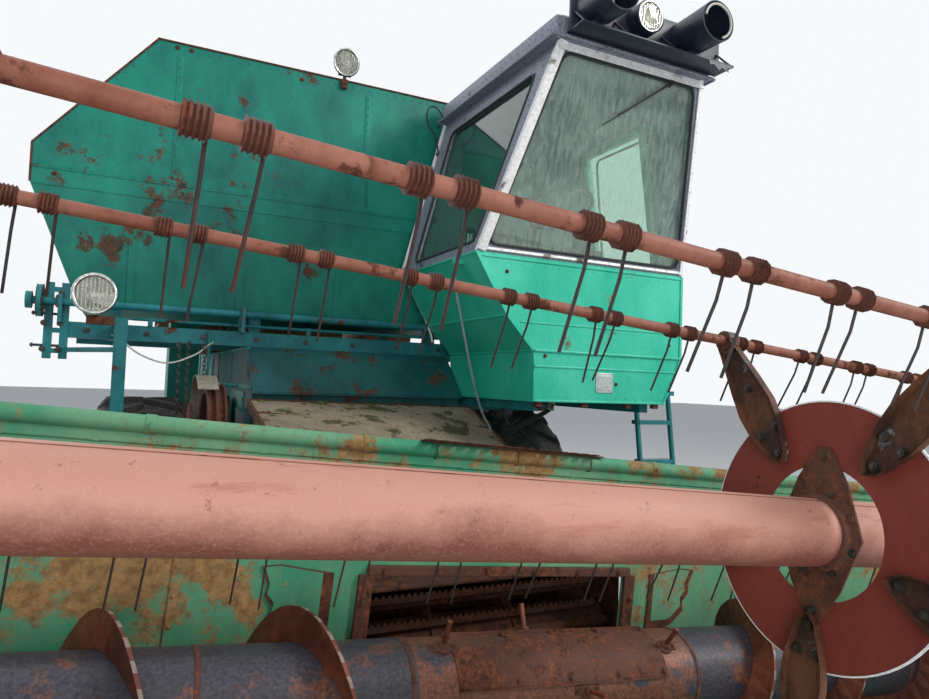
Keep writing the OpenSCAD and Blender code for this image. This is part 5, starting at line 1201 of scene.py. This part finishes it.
class HARVESTER_OT_frame_fittings(Operator):
    """Bolts, sprockets, chains, belt guard and pipes round the tank's frame"""
    bl_idname = "harvester.frame_fittings"
    bl_label = "Frame fittings"

    def execute(self, context):
        bm = bmesh.new()
        # Bolts and clamps that stand out at the lattice and the post
        bolts(bm, [facing((x, -216, z), (0, -1, 0)) for x in (-1705, -1630) for z in (1640, 1780, 1940)] +
              [facing((-1363, -745, z), (1, 0, 0)) for z in (1000, 1400, 1700)] +
              [facing((x, -201, 1752), (0, -1, 0)) for x in range(-1500, 1200, 300)] +
              [facing((x, 851, 1752), (0, 1, 0)) for x in range(-1500, 1200, 300)], 13)
        for x in (-1640, -700, 500):
            bolts(bm, [facing((x - 1, -274, SHAFT_Z + dz), (0, -1, 0)) for dz in (-24, 24)], 9)
        for z in (1660, 1830):
            bar(bm, (-1752, -200, z), (-1600, -200, z), 7, 8)
            bolts(bm, [facing((-1752, -200, z), (-1, 0, 0))], 11)
        # Hanging chains, each from its bar, beside the feeder shaft
        for x, y, top, low in ((-1040, -420, 1690, 1300), (-990, -360, 1700, 1250), (-900, -330, 1690, 1420)):
            z, turn_by = top, 0
            while z > low:
                stretched = QUARTER_X @ Matrix.Diagonal((0.7, 1.25, 1, 1))
                ring(bm, at(x, y, z) @ Matrix.Rotation(turn_by, 4, "Z") @ stretched, 13, 3.4, 10, 5)
                z, turn_by = z - 24, math.pi / 2 - turn_by
            bar(bm, (x, y, top + 8), (x, -205, top + 8), 6, 8)
        new_piece("frame_bolts_and_chains", bm, "machine", "dark_steel", True)
        # Pressed belt guard: a pale curved strip beside the feeder shaft
        bm = bmesh.new()
        place = at(-925, -660, 1240) @ QUARTER_Y
        arc = [math.radians(a) for a in range(100, 221, 8)]
        outline = [(290 * math.cos(t), 290 * math.sin(t)) for t in arc]
        outline += [(285 * math.cos(t), 285 * math.sin(t)) for t in reversed(arc)]
        plate(bm, outline, place @ Matrix.Translation((0, 0, -0.05)), 100)
        new_piece("belt_guard", bm, "machine", "galvanised", True)
        # Twin sprocket on the tank's cross shaft, with its bolts, and a collar
        bm = bmesh.new()
        teeth = toothed(18, ((78, -0.09), (86.58, 0.04), (86.58, 0.13)))
        for x in (-1740, -1714):
            plate(bm, teeth, at(x, SHAFT_Y, SHAFT_Z) @ QUARTER_Y, 5)
        bolts(bm, [facing((-1736, SHAFT_Y + a, SHAFT_Z + b), (-1, 0, 0)) for a, b in circle(50, 4, 0.4)], 8)
        turned(bm, [(21.5, 0), (30, 0), (30, 26), (21.5, 28)], facing((-700, SHAFT_Y, SHAFT_Z), (1, 0, 0)),
            24)
        new_piece("shaft_sprockets", bm, "shaft", "dark_steel")
        # Oil pipe down the front of the body, and one along the beam in its clips
        bm = bmesh.new()
        swept(bm, through([(-870, -214, 1790), (-870, -222, 1700), (-868, -226, 1600), (-866, -214, 1500),
            (-800, -206, 1478), (-700, -250, 1474)], 40), 9, 10)
        bar(bm, (-1280, -206, 1830), (590, -206, 1830), 9, 10)
        for x in (-1200, -300, 500):
            block(bm, (x, -214, 1795), (x + 26, -192, 1842), 3)
        new_piece("oil_pipes", bm, "machine", "frame_paint", True)
        return {"FINISHED"}


def flat_in(outline, parts):
    """Each straight of a closed outline divided into parts."""
    line = []
    for a, b in zip(outline, outline[1:] + outline[:1]):
        line += [(a[0] + (b[0] - a[0]) * i / parts, a[1] + (b[1] - a[1]) * i / parts) for i in range(parts)]
    return line


def pressed_arm(bm):
    """A channel pressed from plate, pointed at its inner end: X along the arm, the hollow side up."""
    outline = [(188, 0), (212, -24), (300, -50), (352, -55), (430, -46), (545, -27), (575, -24), (575, 24),
        (545, 27), (430, 46), (352, 55), (300, 50), (212, 24)]
    face = bm.faces.new([bm.verts.new(mm(u, v, 0)) for u, v in outline])
    made = bmesh.ops.extrude_face_region(bm, geom=[face])["geom"]
    top = [g for g in made if isinstance(g, bmesh.types.BMFace)]
    bmesh.ops.translate(bm, vec=(0, 0, 0.024), verts=top[0].verts)
    bmesh.ops.inset_region(bm, faces=top, thickness=0.004, depth=0, use_even_offset=True)
    bmesh.ops.translate(bm, vec=(0, 0, -0.019), verts=top[0].verts)
    paint_faces(bm.verts, 1)


class HARVESTER_OT_reel(Operator):
    """Discs, flanges, pressed arms and clamps of the reel"""
    bl_idname = "harvester.reel"
    bl_label = "Reel spiders"

    def execute(self, context):
        looks = "disc_paint arm_rust rusty_steel dark_steel trim"
        for k, x in enumerate(SPIDERS):
            bm = bmesh.new()
            # Local frame: Z along the tube towards the machine's left, X up
            hub = at(x, REEL_Y, REEL_Z) @ QUARTER_Y
            holed_plate(bm, circle(319, 72), circle(160, 72), hub @ Matrix.Translation((0, 0, -0.003)), 6, 0)
            turned(bm, [(316, -4), (320, -3), (320, 3), (316, 4)], hub, 72, 4)
            lens = flat_in([(206, 16), (206, -16), (126, -66), (0, -112), (-126, -66), (-206, -16),
                (-206, 16), (-126, 66), (0, 112), (126, 66)], 5)
            holed_plate(bm, lens, circle(80.6, 50, 0.1), hub @ Matrix.Translation((0, 0, -0.009)), 6, 2)
            turned(bm, [(81, -34), (89, -32), (92, -12), (104, -9), (104, -7), (81, -7)], hub, 48, 2)
            turned(bm, [(81, 26), (88, 24), (90, 8), (81, 6)], hub, 48, 2)
            heads = circle(96, 8, 0.3) + [(-184, 0), (184, 0)]
            bolts(bm, [hub @ at(px, py, -9) @ Matrix.Rotation(math.pi, 4, "X") for px, py in heads], 9, 3)
            arms = []
            for angle in BAT_ANGLES:
                a = math.radians(angle)
                way = Vector((0, -math.cos(a), math.sin(a)))
                side = Vector((0, math.sin(a), math.cos(a)))
                # Arm frame: X along the arm, Y across it, Z towards the machine's right
                turn = Matrix((way, side, Vector((-1, 0, 0)))).transposed().to_4x4()
                arm = at(x - 5, REEL_Y, REEL_Z) @ turn
                arms.append(arm)
                bolts(bm, [arm @ at(u, v, 5) for u, v in ((218, 0), (284, -26), (284, 26), (420, 0))], 11, 3)
                # Clamp round the bat: a split block with two bolts
                turned(bm, [(15, -24), (28, -24), (28, 14), (15, 14), (15, -24)],
                    Matrix.Translation(mm(x, REEL_Y, REEL_Z) + way * BAT_R * MM) @ QUARTER_Y, 24, 3)
                block(bm, (544, -30, 2), (574, 30, 13), 2, 3, arm)
                bolts(bm, [arm @ at(559, v, 13) for v in (-20, 20)], 6.5, 3)
            repeat(bm, shape(pressed_arm), arms)
            piece = new_piece(f"reel_disc_{k + 1}", bm, "reel", looks, space=TO_HEADER)
            if k == 0:
                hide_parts("reel_spiders")
        # Weld bead along the tube, and the tube's end rings
        bm = bmesh.new()
        for angle, x0, x1 in ((74, -2420, 150), (250, -2420, 2420), (66, 185, 2400)):
            a = math.radians(angle)
            y, z = REEL_Y - 79.4 * math.cos(a), REEL_Z + 79.4 * math.sin(a)
            bar(bm, (x0, y, z), (x1, y, z), 1.9, 6)
        for x in (-2424, 2417):
            turned(bm, [(79, 0), (82.5, 1), (82.5, 6), (79, 7)], facing((x, REEL_Y, REEL_Z), (1, 0, 0)), 48)
        new_piece("reel_tube_welds", bm, "reel", "bat_paint", True, TO_HEADER)
        bm = bmesh.new()
        hub = at(-2475, REEL_Y - 70, REEL_Z) @ QUARTER_Y
        bolts(bm, [hub @ at(px, py, 5) for px, py in circle(160, 10)], 9)
        ring(bm, hub @ Matrix.Translation((0, 0, 0.006)), 186, 3, 60, 6)
        new_piece("reel_ring_bolts", bm, "ring", "dark_steel", space=TO_HEADER)
        return {"FINISHED"}


class HARVESTER_OT_bats(Operator):
    """Thin tubes with wound coils and the tines they hold"""
    bl_idname = "harvester.bats"
    bl_label = "Bats and tines"

    def execute(self, context):
        turns = context.scene.harvester_sizes.coil_turns
        chance = random.Random(4)
        looks = "bat_paint spring_wire tine_wire dark_steel"
        profile = [(14.2, -17)]
        for i in range(turns):
            profile += [(21.8, -15.4 + 34 * i / turns), (17.6, -17 + 34 * (i + 1) / turns)]
        profile[-1] = (14.2, 17)
        for k, angle in enumerate(BAT_ANGLES):
            a = math.radians(angle)
            y, z = REEL_Y - BAT_R * math.cos(a), REEL_Z + BAT_R * math.sin(a)
            bm = bmesh.new()
            bar(bm, (-2430, y, z), (2430, y, z), 14, 28, 0)
            coil = shape(lambda b: turned(b, profile, QUARTER_Y, 10, 1))
            places, tines = [], []
            for i in range(-8, 9):
                for s in (-1, 1):
                    x = i * 262 - 25 + s * 32.5
                    places.append(at(x, y, z) @ Matrix.Rotation(chance.uniform(0, 0.6), 4, "X"))
                    lean = math.radians(20 + chance.uniform(-5, 7))
                    twist = math.radians(chance.uniform(-3, 3))
                    hang = Matrix.Rotation(twist, 4, "Y") @ Matrix.Rotation(lean, 4, "X")
                    tines.append(at(x + 12.5, y, z) @ hang)
            repeat(bm, coil, places)

            def tine(b):
                # Wire that leaves the coil at its side and bends a little towards its blunt point
                swept(b, [mm(0, 15, -6), mm(0, 8, -24), mm(0, 1, -60), mm(0, 0, -184)], 2.9, 6, 2)
            repeat(bm, shape(tine), tines)
            # Crank at the end, with its pin
            tapered(bm, (-2438, y - 90, -2430, y + 14, z - 14), (-2438, y - 90, -2430, y + 14, z + 14), 3, 3)
            bar(bm, (-2487, y - 70, z), (-2430, y - 70, z), 8, 16, 3)
            bar(bm, (-2434, y, z), (-2442, y, z), 17, 6, 3)
            bar(bm, (2430, y, z), (2436, y, z), 17, 16, 3)
            piece = new_piece(f"bat_with_tines_{k + 1}", bm, f"bat{k + 1}", looks, True, space=TO_HEADER)
            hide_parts(f"bat_{k + 1}")
        return {"FINISHED"}


def on_header(x, y, z):
    """A point of the machine's frame, in the header's millimetres."""
    return (TO_HEADER.inverted() @ TO_ROW @ mm(x, y, z)) / MM


class HARVESTER_OT_header(Operator):
    """Seams, gussets, pipe bands, spare knife and rear ribs of the header"""
    bl_idname = "harvester.header"
    bl_label = "Header sheets"

    def execute(self, context):
        bm = bmesh.new()
        # Lapped joints of the back sheet and a folded lip under the top pipe
        for x in (-2250, -1720, -1180, 1180, 1720, 2250):
            block(bm, (x, -2240, -190), (x + 26, -2234.6, 640), 2)
            rivets(bm, [facing((x + 13, -2240, z), (0, -1, 0)) for z in range(-160, 640, 90)], 7)
        block(bm, (-2480, -2242, 632), (2480, -2234.6, 644), 2)
        # Ribs behind, where the sheet is stiffened
        for x in (-2050, -1500, -1000, 1000, 1500, 2050):
            tapered(bm, (x - 22, -2210.4, x + 22, -2176, -200), (x - 22, -2210.4, x + 22, -2186, 640), 5)
        block(bm, (-2480, -2210.4, 30), (-760, -2178, 74), 4)
        block(bm, (760, -2210.4, 30), (2480, -2178, 74), 4)
        new_piece("header_ribs", bm, "header", "header_paint", space=TO_HEADER)
        bm = bmesh.new()
        # Gussets at the mouth: torn plates lapped on the wall
        for s in (1, -1):
            points = [on_header(*p) for p in ((-884, WALL_Y, 934), (-800, WALL_Y, 691), (-668, WALL_Y, 675))]
            (x0, z0), (x1, z1), (x2, z2) = [(p.x, p.z) for p in points]
            torn = [(x0, z0), (x0 + 26, z0 - 60), (x0 + 20, z0 - 96), (x0 + 52, z0 - 130),
                (x0 + 44, z0 - 170), (x1, z1 + 12), (x1 + 30, z1), (x2, z2), (x2, z0 - 20), (x0 + 60, z0 + 6)]
            outline = [(x if s > 0 else -x, z) for x, z in torn]
            plate(bm, outline, at(0, -2236, 0) @ QUARTER_X, 6)
            mid = (sum(x for x, z in outline) / len(outline), sum(z for x, z in outline) / len(outline))
            inner = [(mid[0] - 8 + (x - mid[0]) * 0.8, mid[1] + 14 + (z - mid[1]) * 0.86) for x, z in outline]
            plate(bm, inner, at(0, -2241.8, 0) @ QUARTER_X, 2, 1)
        for s in (-1, 1):
            block(bm, (s * 552 - 14 if s > 0 else -590, -2252, -240),
                (s * 552 + 38 if s > 0 else -538, WALL_Y, 268), 3)
        block(bm, (-560, -2256, 266), (560, WALL_Y, 300), 4)
        bolts(bm, [facing((x, -2256, 283), (0, -1, 0)) for x in range(-500, 501, 200)] +
            [facing((s * 570, -2252, z), (0, -1, 0)) for s in (-1, 1) for z in (-180, 0, 180)], 11)
        new_piece("mouth_frame", bm, "header", "rusty_steel header_paint", space=TO_HEADER)
        # Old knife bar that lies on the pipe, tied with wire: a strip with ground triangular blades
        bm = bmesh.new()
        a, b = on_header(-361, -2252, 1290), on_header(422, -2252, 1178)
        block(bm, (a.x, -2264, 734.4), (b.x, -2240, 739), 1)
        for i in range(int((b.x - a.x) / 50)):
            x = a.x + 50 * i
            plate(bm, [(x + 2, 0), (x + 10, -38), (x + 40, -38), (x + 48, 0)],
                at(0, -2262, 739) @ Matrix.Rotation(math.radians(-8), 4, "X"), 2.5)
        rivets(bm, [facing((a.x + 50 * i + dx, -2252, 739), (0, 0, 1)) for i in range(int((b.x - a.x) / 50))
            for dx in (14, 36)], 5)
        for x in (a.x + 60, b.x - 60, (a.x + b.x) / 2):
            swept(bm, rounded([(x, -2266, 742), (x, -2204, 742), (x, -2204, 675), (x, -2266, 675)], 20), 2, 6,
                closed=True)
        new_piece("spare_knife", bm, "header", "spring_wire", space=TO_HEADER)
        bm = bmesh.new()
        for x in (-2100, -1300, -620, 640, 1250, 2000):
            turned(bm, [(28, -16), (31, -15), (31, 15), (28, 16)], facing((x, WALL_Y, PIPE_Z), (1, 0, 0)), 32)
            bolts(bm, [facing((x, -2265, PIPE_Z), (0, -1, 0))], 9)
        for x in range(-2400, 2401, 240):
            block(bm, (x - 12, -2244, 645), (x + 12, -2234.6, 690), 3)
        # Bolts on the end sheets
        for s in (-1, 1):
            bolts(bm, [facing((s * 2506, y, z), (s, 0, 0)) for y in (-2300, -2500, -2700, -2900)
                for z in (-120, 80)], 13)
        new_piece("pipe_bands", bm, "header", "header_paint", space=TO_HEADER)
        return {"FINISHED"}


def arc_sheet(bm, x0, x1, inner, outer, start, end, y, z, material=0, steps=10):
    """A sheet bent round an axis along X, between two angles in degrees from the front upwards."""
    angles = [math.radians(start + (end - start) * i / steps) for i in range(steps + 1)]
    outline = [(outer * math.sin(t), outer * math.cos(t)) for t in angles]
    outline += [(inner * math.sin(t), inner * math.cos(t)) for t in reversed(angles)]
    # Local X is up, local Y is forward
    turn = Matrix(((0, 0, 1), (0, -1, 0), (1, 0, 0))).to_4x4()
    plate(bm, outline, at(x0, y, z) @ turn, x1 - x0, material)


class HARVESTER_OT_auger(Operator):
    """Cover plates, finger guides and seam rings of the header's auger"""
    bl_idname = "harvester.auger"
    bl_label = "Auger details"

    def execute(self, context):
        bm = bmesh.new()
        # Three bolted covers over the finger gear, with folded flanges
        for start, end in ((18, 96), (160, 235), (285, 350)):
            arc_sheet(bm, -395, 395, 150.3, 153.5, start, end, AUGER_Y, 0, 0, 12)
            for edge in (start, end):
                t = math.radians(edge)
                y, z = AUGER_Y - 156 * math.cos(t), 156 * math.sin(t)
                strip(bm, (-395, y, z), (395, y, z), (0, -math.cos(t), math.sin(t)), 14, 4)
            for x in (-380, -190, 0, 190, 380):
                bolts(bm, [facing((x, AUGER_Y - 153 * math.cos(t), 153 * math.sin(t)),
                    (0, -math.cos(t), math.sin(t))) for t in (math.radians(start + 7),
                    math.radians(end - 7))], 9)
        # Finger guides: a moulded ring on two bolts, where each finger leaves the tube
        for i in range(8):
            x, t = -420 + 120 * i, math.radians(105 * i + 20)
            way = Vector((0, -math.sin(t), math.cos(t)))
            place = facing(Vector((x, AUGER_Y, 0)) + way * AUGER_R, way)
            turned(bm, [(8.3, 0), (27, 0), (27, 6), (18, 9), (15, 20), (8.3, 21)], place, 20)
            bolts(bm, [place @ at(dx, 0, 4) for dx in (-36, 36)], 7)
            block(bm, (-46, -14, 0), (46, 14, 5), 2, 0, place)
        for x in (-2440, -1730, -1120, -535, 535, 1120, 1730, 2440):
            turned(bm, [(AUGER_R, -8), (152.5, -6), (152.5, 6), (AUGER_R, 8)],
                facing((x, AUGER_Y, 0), (1, 0, 0)), 72)
        new_piece("auger_covers", bm, "auger", "rusty_steel", space=TO_HEADER)
        return {"FINISHED"}


class HARVESTER_OT_feeder(Operator):
    """Toothed slats, sprocket rims, straps and moss of the feeder"""
    bl_idname = "harvester.feeder"
    bl_label = "Feeder details"

    def execute(self, context):
        low = cad_corners("feeder_conveyor")[0]
        bm = bmesh.new()
        # Angle-iron slats in front of the drum, notched along their upper edge
        for z in (430, 520, 600, 690):
            y = low.y + 6 + abs(z - 530) * 0.35
            block(bm, (-560, y - 4, z), (560, y, z + 26), 1)
            block(bm, (-560, y - 4, z), (560, y + 26, z + 4), 1)
            for x in range(-556, 540, 26):
                plate(bm, [(x, z + 24), (x + 5, z + 36), (x + 15, z + 36), (x + 20, z + 24)],
                    at(0, y, 0) @ QUARTER_X, 4)
        # Sprocket rims over the chains
        teeth = toothed(12, ((92, -0.10), (108, -0.05), (108, 0.05), (92, 0.10)))
        for x in (-520, -180, 180, 520):
            plate(bm, teeth, at(x - 9, -1925, 560) @ QUARTER_Y, 6)
        new_piece("conveyor_slats", bm, "feeder", "rusty_steel")
        # Cover: straps across it and along its sides, with bolts
        bm = bmesh.new()

        def cover(u, v, up=0.0):
            """A point on the cover: u from 0 at its right to 1, v from 0 at its top to 1 at its front."""
            top, front = 1403 + (1384 - 1403) * u, 1232 + (1048 - 1232) * u
            return (-690 + 1380 * u, -540 - 810 * v, top + (front - top) * v + up)
        for v in (0.004, 0.33, 0.66, 0.99):
            strip(bm, cover(0.002, v, 3), cover(0.998, v, 3), (0, 1, 0), 26, 5)
        for u in (0.004, 0.996):
            strip(bm, cover(u, 0.01, 2), cover(u, 0.99, 2), (1, 0, 0), 18, 6)
        bolts(bm, [facing(cover(u, v, 5), (0.06, -0.2, 1)) for v in (0.01, 0.34, 0.67, 0.975)
            for u in (0.05, 0.2, 0.35, 0.5, 0.65, 0.8, 0.95)], 9)
        new_piece("cover_straps", bm, "feeder", "rusty_steel")
        bm = bmesh.new()
        chance = random.Random(9)
        for i in range(90):
            u, v = chance.betavariate(1.2, 1.4), chance.choice((0.30, 0.37, 0.62, 0.70, 0.93,
                0.06)) + chance.gauss(0, 0.03)
            v = min(0.97, max(0.02, v))
            wide = chance.uniform(9, 34)
            place = at(*cover(u * 0.97 + 0.015, v, 0)) @ Matrix.Rotation(chance.uniform(0, 3), 4,
                "Z") @ Matrix.Diagonal((1, chance.uniform(0.5, 1.0), chance.uniform(0.2, 0.42), 1))
            bmesh.ops.create_icosphere(bm, subdivisions=1, radius=wide * MM, matrix=place)
        new_piece("cover_moss", bm, "feeder", "moss", True)
        # Feeder side stiffeners and mouth flange bolts
        bm = bmesh.new()
        for s in (-1, 1):
            x0, x1 = sorted((s * 689, s * 700))
            for y, z in ((-2000, 420), (-1700, 520)):
                block(bm, (x0, y, z), (x1, y + 40, z + 220), 3)
            bolts(bm, [facing((s * 700, y + 20, z), (s, 0, 0)) for y,
                z in ((-2000, 450), (-2000, 610), (-1700, 550), (-1700, 710))], 12)
        new_piece("feeder_stiffeners", bm, "feeder", "rusty_steel")
        return {"FINISHED"}


class HARVESTER_OT_body(Operator):
    """Panels, louvres, handles, curtain and tail lamps of the body and hood"""
    bl_idname = "harvester.body"
    bl_label = "Body and hood"

    def execute(self, context):
        bm = bmesh.new()
        for s in (-1, 1):
            def side(y0, z0, y1, z1, proud, soft=2, y=650):
                x0, x1 = sorted((s * (y - 0.4), s * (y + proud)))
                block(bm, (x0, y0, z0), (x1, y1, z1), soft)
            # Inspection doors with raised frames, seams between sheets
            for y0, y1, z0, z1 in ((-180, 380, 1010, 1440), (460, 1080, 980, 1400), (1480, 2040, 1360, 1660)):
                side(y0, z0, y1, z1, 7, 3)
                side(y0 + 34, z0 + 34, y1 - 34, z1 - 34, 12, 5)
            for y in (420, 1130, 1440, 2100):
                side(y - 14, 946, y + 14, 1700, 4, 1)
            side(-430, 1455, 2440, 1480, 5, 1)
            side(-300, 1690, 2440, 1706, 8, 2)
            # Louvres of the fan intake, each a folded slat
            for i in range(8):
                z = 1110 + i * 30
                strip(bm, (s * 660, 1500, z), (s * 660, 1980, z), (s * 0.7, 0, -0.7), 22, 3)
            side(1480, 1090, 2000, 1100, 14)
            side(1480, 1350, 2000, 1358, 14)
            for y, z in ((100, 1225), (770, 1190), (1760, 1510)):
                x = s * 663
                swept(bm, through([(x - s * 3, y - 55, z), (x + s * 26, y - 50, z), (x + s * 30, y, z),
                    (x + s * 26, y + 50, z), (x - s * 3, y + 55, z)], 18), 6, 8)
            heads = [facing((s * 657, y, z), (s, 0, 0)) for y in (-170, 370, 470, 1070)
                for z in (1022, 1180, 1300, 1392)]
            heads += [facing((s * 654, y, z), (s, 0, 0)) for y in (420, 1130, 1440, 2100)
                for z in range(980, 1700, 90)]
            heads += [facing((s * 657, y, 1696), (s, 0, 0)) for y in range(-260, 2420, 120)]
            rivets(bm, heads, 8)
        new_piece("body_panels", bm, "machine", "green_paint", True)
        low, high = cad_corners("straw_hood")
        bm = bmesh.new()
        for s, x in ((-1, low.x), (1, high.x)):
            x0, x1 = sorted((x - s * 0.4, x + s * 9))
            for y in (2560, 2900, 3240, 3580, 3860):
                block(bm, (x0, y - 16, 1010), (x1, y + 16, 1990), 4)
            block(bm, (x0, 2470, 1500), (x1, 3880, 1530), 4)
            rivets(bm, [facing((x + s * 9, y, z), (s, 0, 0)) for y in (2560, 2900, 3240, 3580, 3860)
                for z in range(1050, 1990, 105)], 7)
        for y in (2700, 3050, 3400, 3750):
            block(bm, (low.x + 6, y - 18, high.z - 1), (high.x - 6, y + 18, high.z + 2.5), 1)
        new_piece("hood_ribs", bm, "machine", "green_paint", True)
        # Rubber straw curtain in strips
        bm = bmesh.new()
        for i in range(12):
            x = low.x + 40 + i * (high.x - low.x - 80) / 12
            sag = 10 * math.sin(i * 1.7)
            strip(bm, (x + 48, high.y - 16 + sag * 0.3, 1990), (x + 48, high.y - 26 + sag, 1560 + sag),
                (1, 0, 0), 96, 5)
        new_piece("straw_curtain", bm, "machine", "belt_rubber")
        bm = bmesh.new()
        for s in (-1, 1):
            x = (low.x + high.x) / 2 + s * ((high.x - low.x) / 2 - 60)
            block(bm, (x - 44, high.y - 2, 1380), (x + 44, high.y + 4, 1520), 4, 0)
            block(bm, (x - 36, high.y - 2, 1450), (x + 36, high.y + 24, 1512), 8, 1)
            block(bm, (x - 36, high.y - 2, 1390), (x + 36, high.y + 24, 1446), 8, 2)
            turned(bm, [(30, 0), (30, 5), (24, 8), (0, 8)], facing((x, high.y, 1300), (0, 1, 0)), 24, 1)
        new_piece("tail_lamps", bm, "machine", "gasket tail_red amber", True)
        return {"FINISHED"}


class HARVESTER_OT_engine(Operator):
    """Rocker cover, manifold, injector lines and bolts on the engine"""
    bl_idname = "harvester.engine"
    bl_label = "Engine details"

    def execute(self, context):
        low, high = cad_corners("engine_block")
        bm = bmesh.new()
        # Rocker cover with its bolts, manifold stubs and a rail of injector lines
        tapered(bm, (low.x + 120, low.y + 60, high.x - 140, low.y + 330, high.z - 2),
            (low.x + 150, low.y + 90, high.x - 170, low.y + 300, high.z + 70), 14)
        for i in range(4):
            x = low.x + 200 + i * 170
            bar(bm, (x, low.y + 2, high.z - 190), (x, low.y - 44, high.z - 190), 34, 20)
            turned(bm, [(14, 0), (14, 34), (8, 40), (0, 41)], at(x, low.y + 420, high.z - 1), 16)
            swept(bm, through([(x, low.y + 420, high.z + 38), (x + 12, low.y + 500, high.z + 60),
                (x + 20, low.y + 600, high.z - 1)], 25), 4, 6)
        bar(bm, (low.x + 150, low.y - 50, high.z - 190), (high.x - 60, low.y - 50, high.z - 190), 42, 24)
        bolts(bm, [facing((x, y, high.z + 2), (0, 0, 1)) for x in range(int(low.x) + 140, int(high.x) - 140,
            130) for y in (low.y + 70, low.y + 320)], 11)
        bolts(bm, [facing((high.x, y, z), (1, 0, 0)) for y in range(int(low.y) + 60, int(high.y) - 40, 120)
            for z in (low.z + 60, high.z - 60)], 11)
        new_piece("engine_covers", bm, "machine", "engine_paint", True)
        return {"FINISHED"}


class HARVESTER_OT_wheels(Operator):
    """Nuts of the four wheels"""
    bl_idname = "harvester.wheels"
    bl_label = "Wheel details"

    def execute(self, context):
        for name, body in (("front_rim_l", "wheel_fl"), ("front_rim_r", "wheel_fr"),
                ("rear_rim_l", "wheel_rl"), ("rear_rim_r", "wheel_rr")):
            low, high = cad_corners(name)
            left, front = name.endswith("l"), name.startswith("front")
            s = 1 if left else -1
            x = (low.x + high.x) / 2 + s * (24 if front else 16)
            y, z = (low.y + high.y) / 2, (low.z + high.z) / 2
            bm = bmesh.new()
            r = 150 if front else 92
            place = facing((x, y, z), (s, 0, 0))
            bolts(bm, [place @ at(px, py, 0) for px, py in circle(r, 8 if front else 6)], 15)
            new_piece(f"wheel_nuts_{name[:-2].replace('_rim', '')}_{'left' if left else 'right'}", bm, body,
                "dark_steel", False)
        return {"FINISHED"}


class HARVESTER_OT_unloader(Operator):
    """Flanges, clamp rings and a stay rod on the unloading pipe"""
    bl_idname = "harvester.unloader"
    bl_label = "Unloading pipe"

    def execute(self, context):
        bm = bmesh.new()
        for y in (1560, 2420, 3300):
            turned(bm, [(UNLOAD_R, -12), (142, -12), (142, 12), (UNLOAD_R, 12)],
                facing((UNLOAD_X, y, UNLOAD_Z), (0, 1, 0)), 48)
            for way in (-1, 1):
                bolts(bm, [facing((UNLOAD_X + px, y + way * 12, UNLOAD_Z + pz), (0, way, 0)) for px,
                    pz in circle(131, 10)], 9)
        for y in (1900, 2900):
            turned(bm, [(UNLOAD_R, -16), (123, -15), (123, 15), (UNLOAD_R, 16)],
                facing((UNLOAD_X, y, UNLOAD_Z), (0, 1, 0)), 48)
        # Stay rod over the pipe, in two lugs
        for y in (1640, 3220):
            block(bm, (UNLOAD_X - 5, y - 22, UNLOAD_Z + 112), (UNLOAD_X + 5, y + 22, UNLOAD_Z + 176), 4)
        bar(bm, (UNLOAD_X, 1640, UNLOAD_Z + 164), (UNLOAD_X, 3220, UNLOAD_Z + 164), 9, 12)
        new_piece("unloader_flanges", bm, "unloader", "frame_paint", True)
        return {"FINISHED"}


class HARVESTER_OT_tank_inside(Operator):
    """Braces inside the open tank"""
    bl_idname = "harvester.tank_inside"
    bl_label = "Tank braces"

    def execute(self, context):
        bm = bmesh.new()
        for y in (60, 690):
            bar(bm, (-1338, y, 3290), (1138, y, 3290), 17, 14)
        for x in (-760, -100, 560):
            bar(bm, (x, -181, 3340), (x, 931, 3340), 14, 12)
        new_piece("tank_braces", bm, "machine", "frame_paint", True)
        return {"FINISHED"}


class HARVESTER_PT_panel(Panel):
    """The harvester's finishes and parts"""
    bl_idname = "HARVESTER_PT_panel"
    bl_label = "Harvester"
    bl_space_type = "VIEW_3D"
    bl_region_type = "UI"
    bl_category = "Harvester"

    def draw(self, context):
        for group in (context.scene.harvester_colours, context.scene.harvester_sizes):
            for name in group.__annotations__:
                self.layout.prop(group, name)
        for step in STEPS:
            self.layout.operator(step.bl_idname)


STEPS = (HARVESTER_OT_stage, HARVESTER_OT_finish_frame, HARVESTER_OT_cords, HARVESTER_OT_lamps,
         HARVESTER_OT_roof,
         HARVESTER_OT_cab_trim, HARVESTER_OT_cab_box, HARVESTER_OT_cab_interior, HARVESTER_OT_tank,
         HARVESTER_OT_frame_fittings, HARVESTER_OT_reel, HARVESTER_OT_bats, HARVESTER_OT_header,
         HARVESTER_OT_auger,
         HARVESTER_OT_feeder, HARVESTER_OT_body, HARVESTER_OT_engine, HARVESTER_OT_wheels,
         HARVESTER_OT_unloader, HARVESTER_OT_tank_inside)
GROUPS = (HARVESTER_PG_colours, HARVESTER_PG_sizes)


def register():
    for one in (*GROUPS, *STEPS, HARVESTER_PT_panel):
        bpy.utils.register_class(one)
    bpy.types.Scene.harvester_colours = PointerProperty(type=HARVESTER_PG_colours)
    bpy.types.Scene.harvester_sizes = PointerProperty(type=HARVESTER_PG_sizes)


def unregister():
    del bpy.types.Scene.harvester_sizes
    del bpy.types.Scene.harvester_colours
    for one in reversed((*GROUPS, *STEPS, HARVESTER_PT_panel)):
        bpy.utils.unregister_class(one)


def main():
    """Runs every step in its order."""
    register()
    for step in STEPS:
        family, name = step.bl_idname.split(".")
        getattr(getattr(bpy.ops, family), name)()


if __name__ == "__main__":
    main()
